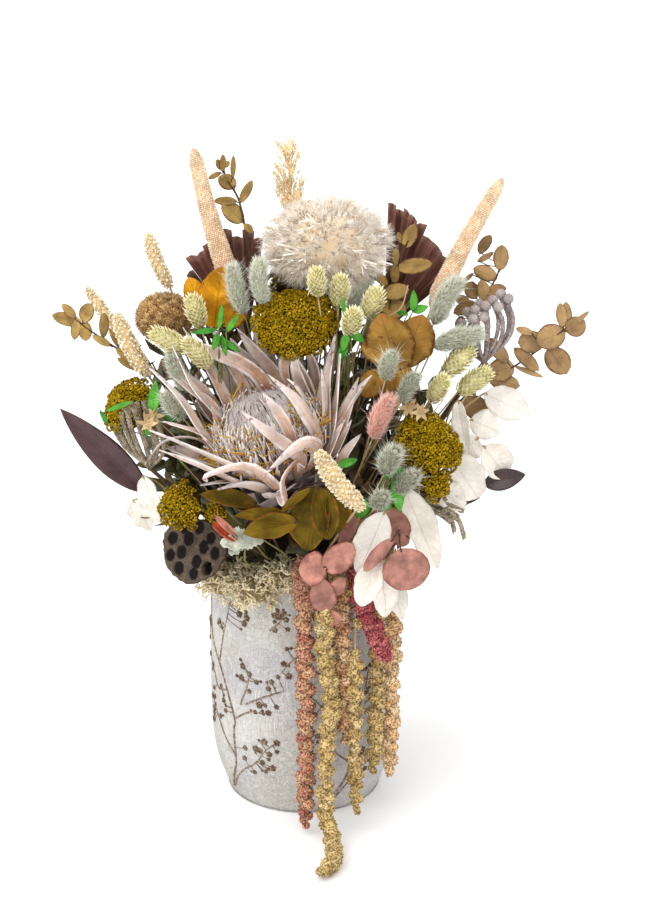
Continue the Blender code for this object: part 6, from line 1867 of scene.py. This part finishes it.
tailKinds = {"amaranth_peach": "peach", "amaranth_gold": "gold", "amaranth_pair": "rust",
    "amaranth_olive": "gold", "amaranth_magenta": "magenta"}
tailSlots = {"peach": "peach_tail", "gold": "gold_tail", "magenta": "magenta_tail", "rust": "peach_tail",
    "apricot": "gold_tail"}
tailLooks = {kind: grainLook(kind + "Grain", amaranth[kind]) for kind in tailSlots}
for number, (name, kind) in enumerate(tailKinds.items()):
    heap = Heap()
    for index, (radius, way, bare) in enumerate(amaranth[name]):
        makeTail(heap, radius, way, bare, number * 3 + index, 2 * index)
        heap.stem(1.4, way[0], number + index)
    second = {"amaranth_pair": "gold", "amaranth_olive": "apricot"}.get(name, kind)
    dress(name, "Tails", heap, [tailLooks[kind], strawStem, tailLooks[second]], tailSlots[kind])
print("tails done")


# Dry foliage in the heart of the arrangement; its dark olive and umber are partly painted shade between the
# heads

filler = {
    # count of sprigs, reach from the middle, height of the tips, leaf length and width, arc in degrees
    "layers": [(30, (88, 130), (286, 330), 34, 15), (30, (66, 124), (338, 392), 36, 14),
        (28, (48, 118), (392, 444), 36, 13), (18, (16, 84), (430, 480), 34, 12), (16, (98, 128), (300, 430),
        34, 14, 176, 244), (9, (60, 100), (430, 470), 32, 12, 150, 215)],
    "leaves": 8,
    # places kept free for the heads: centre and radius
    "clear": [((-25, -94, 372), 62), ((-6, -66, 470), 38), ((21, -15, 524), 62), ((-95, -98, 273), 36),
        ((-146, -66, 392), 26), ((103, -104, 372), 28), ((-119, -32, 462), 26), ((72, -84, 452), 30),
        ((-76, -34, 476), 28), ((-102, -116, 326), 24)],
    "cone": (100, 0.5),  # the reach of the protea's bracts and their opening
    # olive and umber leaves are very dark: dried foliage, and partly painted shade in the gaps between the
    # heads
    "kinds": {"oliveFoliage": ((0.085, 0.075, 0.022), (0.055, 0.05, 0.018), (0.14, 0.115, 0.035)),
        "umberFoliage": ((0.15, 0.085, 0.04), (0.095, 0.05, 0.028), (0.2, 0.13, 0.06)),
        "sageFoliage": ((0.2, 0.215, 0.14), (0.13, 0.145, 0.095), (0.27, 0.28, 0.2)),},
}


def clearOf(spot):
    for centre, radius in filler["clear"]:
        if norm(spot - np.array(centre)) < radius:
            return False
    away = spot - np.array(protea["seat"])
    reach, opening = filler["cone"]
    high = away @ unit(protea["axis"])
    return not (norm(away) < reach and high > norm(away) * opening)


def makeFiller():
    rng = seeded(77)
    heaps = [Heap() for _ in filler["kinds"]]
    sprig = 0
    for count, reach, heights, long, wide, *arc in filler["layers"]:
        for number in range(count):
            start, end = np.radians(arc or (0, 360))
            angle = start + (end - start) * (number + rng.uniform(-0.3, 0.3)) / count
            far = rng.uniform(*reach)
            tip = np.array([cos(angle) * far * 1.12, sin(angle) * far * 0.8, rng.uniform(*heights)])
            heap = heaps[sprig % 3]
            path = stemRun(tip, sprig + 200)
            axis = unit(path[-1] - path[-4])
            frameOf = basisOf(axis, (cos(angle), sin(angle), 0.4))
            heap.add(stemShape(path, 0.9), 1)
            for leaf in range(filler["leaves"]):
                t = 0.45 + 0.55 * leaf / (filler["leaves"] - 1)
                spot = onPath(path, t)
                turn = leaf * golden + sprig
                out = roundAxis(turn, frameOf)
                way = unit(out * rng.uniform(0.6, 1) + axis * rng.uniform(0.4, 1))
                if spot[2] < 262 or not clearOf(spot + way * long * 0.55):
                    continue
                shape = leafShape(long * rng.uniform(0.7, 1.15), wide * rng.uniform(0.8, 1.2),
                    oval(0.45, 0.75), 2, 4, fold=0.2, bend=rng.uniform(-0.6, 0.4),
                    curl=rng.uniform(-0.6, 0.6), twist=rng.uniform(-0.6, 0.6), ripple=0.04, thick=0.5,
                    seed=sprig * 20 + leaf)
                heap.add(placed(shape, spot, way, axis - out * 0.2), 0, rng.uniform(0, 1))
            sprig += 1
    for heap, (name, shades) in zip(heaps, filler["kinds"].items()):
        look = leafLook(name, shades, [part * 0.7 for part in shades[1]], shades[2], patches=8, rib=0.06,
            veins=6, rough=0.75)
        makePiece(name + "Sprigs", heap, [look, darkStem], slot="green_leaf"
            if name == "sageFoliage" else "olive_leaf")


makeFiller()
print("foliage done")


# Small extras

extras = {
    "stars": [(-130, -104, 390), (91, -104, 405), (86, -100, 412), (100, -106, 402), (-126, -100, 396),
        (30, -40, 500)],
    "starPoints": 6,
    "starLength": (8, 12),
    # base, tip and width
    "red": [(-55, -132, 295, -76, -129, 311, 9), (-56, -134, 301, -74, -132, 319, 6)],
    "dusty": [(-32, -128, 294, -70, -134, 293, 14), (-44, -126, 296, -60, -130, 304, 9),
        (-48, -130, 292, -62, -134, 284, 8)],
    # short tan stalks: foot and tip
    "stalks": [(96, -100, 372, 102, -108, 404), (88, -96, 360, 120, -92, 408), (128, -66, 380, 160, -48, 420),
        (60, -120, 318, 70, -132, 322), (75, -120, 330, 96, -120, 340), (60, -70, 470, 90, -60, 500),
        (100, -90, 330, 113, -104, 300)],
}


def makeExtras():
    rng = seeded(91)
    heap = Heap()
    for spot in extras["stars"]:
        spot = np.array(spot, float)
        heap.stem(0.6, spot, abs(int(spot[0])))
        axis = unit([rng.uniform(-0.4, 0.4), -0.9, 0.5])
        frameOf = basisOf(axis, (0, 0, 1))
        for point in range(extras["starPoints"]):
            turn = tau * point / extras["starPoints"] + rng.uniform(-0.2, 0.2)
            out = roundAxis(turn, frameOf)
            shape = leafShape(rng.uniform(*extras["starLength"]), 4.2, oval(0.3, 0.8), 4, 6, fold=0.4,
                bend=0.3, thick=0.4, seed=point)
            heap.add(placed(shape, spot, unit(out + axis * 0.35), axis), 0, rng.uniform(0, 1))
        ways = sphereSpots(16, rng)
        heap.add(stamped(ball(1), spot + ways * 1.8, turns(ways, axis), 1.1, 0.6))
    for foot, tip in rowsOf(extras["stalks"]):
        heap.stem(0.7, foot, int(foot[0]) + 300)
        heap.add(tubes(splinePath([foot, (foot + tip) / 2 + rng.normal(size=3) * 3, tip], 9),
            np.linspace(0.75, 0.5, 9), 6, 0.1), 1)
    starLook = toneLook("strawBract", [(0.42, 0.27, 0.12), (0.66, 0.5, 0.28)], 2, 0.2)
    makePiece("strawStars", heap, [starLook, strawStem], slot="plume")

    red = Heap()
    for index, (base, tip, width) in enumerate(rowsOf(extras["red"])):
        shape = leafShape(norm(tip - base), width, oval(0.5, 0.5), 6, 10, fold=0.9, twist=0.2, thick=0.5,
            seed=index)
        red.add(placed(shape, base, tip - base, (0.1, -0.9, 0.5)), index, 0.2)
        red.stem(0.8, base, index + 70, skin=2)
    redLook = leafLook("russetLeaf", ((0.42, 0.045, 0.012), (0.3, 0.03, 0.01), (0.5, 0.09, 0.03)),
        (0.5, 0.12, 0.06), (0.5, 0.2, 0.12), patches=5, rib=0.05, veins=6, rough=0.6)
    rose = leafLook("roseLeaf", ((0.58, 0.22, 0.15), (0.46, 0.16, 0.11), (0.6, 0.3, 0.22)), (0.6, 0.3, 0.2),
        (0.4, 0.12, 0.08), patches=5, rib=0.05, veins=6, rough=0.6)
    makePiece("russetLeaves", red, [redLook, rose, darkStem], slot="pink_leaf")

    dusty = Heap()
    for index, (base, tip, width) in enumerate(rowsOf(extras["dusty"])):
        shape = leafShape(norm(tip - base), width, oval(0.6, 0.4), 10, 20, cup=0.2, ripple=0.06, notch=0.35,
            thick=0.7, bend=0.2, seed=index + 5)
        dusty.add(placed(shape, base, tip - base, (0, -0.8, 0.6)), 0, 0.3)
        dusty.stem(0.9, base, index + 90)
    downy = leafLook("downyLeaf", ((0.58, 0.6, 0.47), (0.46, 0.48, 0.38), (0.68, 0.7, 0.6)),
        (0.72, 0.73, 0.64), (0.7, 0.71, 0.6), patches=5, rib=0.06, veins=6, rough=0.95, sheen=0.2)
    makePiece("downyLeaves", dusty, [downy, greenStem], slot="lagurus")


makeExtras()
print("extras done")


# Floor, light and camera

stage = {"floor": 14, "floorShade": 0.96, "sky": 1.1, "key": (-0.9, -1.15, 2.6), "keyPower": 1.5,
    "keyAngle": 60, "target": (0.0175, 0, 0.328), "distance": 2, "elevation": 20, "lens": 88.6}


def makeStage():
    mesh = bpy.data.meshes.new("paleFloor")
    half = stage["floor"]
    mesh.from_pydata([(-half, -half, 0), (half, -half, 0), (half, half, 0), (-half, half, 0)], [],
        [(0, 1, 2, 3)])
    floor = bpy.data.objects.new("paleFloor", mesh)
    link(floor)
    look = Look("paleFloor", 0.9, 0)
    look.colour = [stage["floorShade"]] * 3
    look.lay([stage["floorShade"] * 0.99] * 3, look.noise(900, 2))
    mesh.materials.append(look.done(look.noise(900, 2), 0))
    world = bpy.data.worlds.new("softSky")
    bpy.context.scene.world = world
    world.use_nodes = True
    sky = world.node_tree.nodes["Background"].inputs
    sky["Color"].default_value = (1, 1, 1, 1)
    sky["Strength"].default_value = stage["sky"]
    target = Vector(stage["target"])
    lamp = bpy.data.lights.new("softBox", "SUN")
    lamp.angle = radians(stage["keyAngle"])
    lamp.energy = stage["keyPower"]
    box = bpy.data.objects.new("softBox", lamp)
    box.location = stage["key"]
    box.rotation_euler = (target - box.location).to_track_quat("-Z", "Y").to_euler()
    link(box)
    tilt = radians(stage["elevation"])
    view = bpy.data.cameras.new("photoView")
    view.lens = stage["lens"]
    view.sensor_width = 36
    camera = bpy.data.objects.new("photoView", view)
    camera.location = target + Vector((0, -cos(tilt), sin(tilt))) * stage["distance"]
    camera.rotation_euler = (pi / 2 - tilt, 0, 0)
    link(camera)
    bpy.context.scene.camera = camera
    bpy.context.scene.view_settings.view_transform = "Standard"


makeStage()
print("stage done")
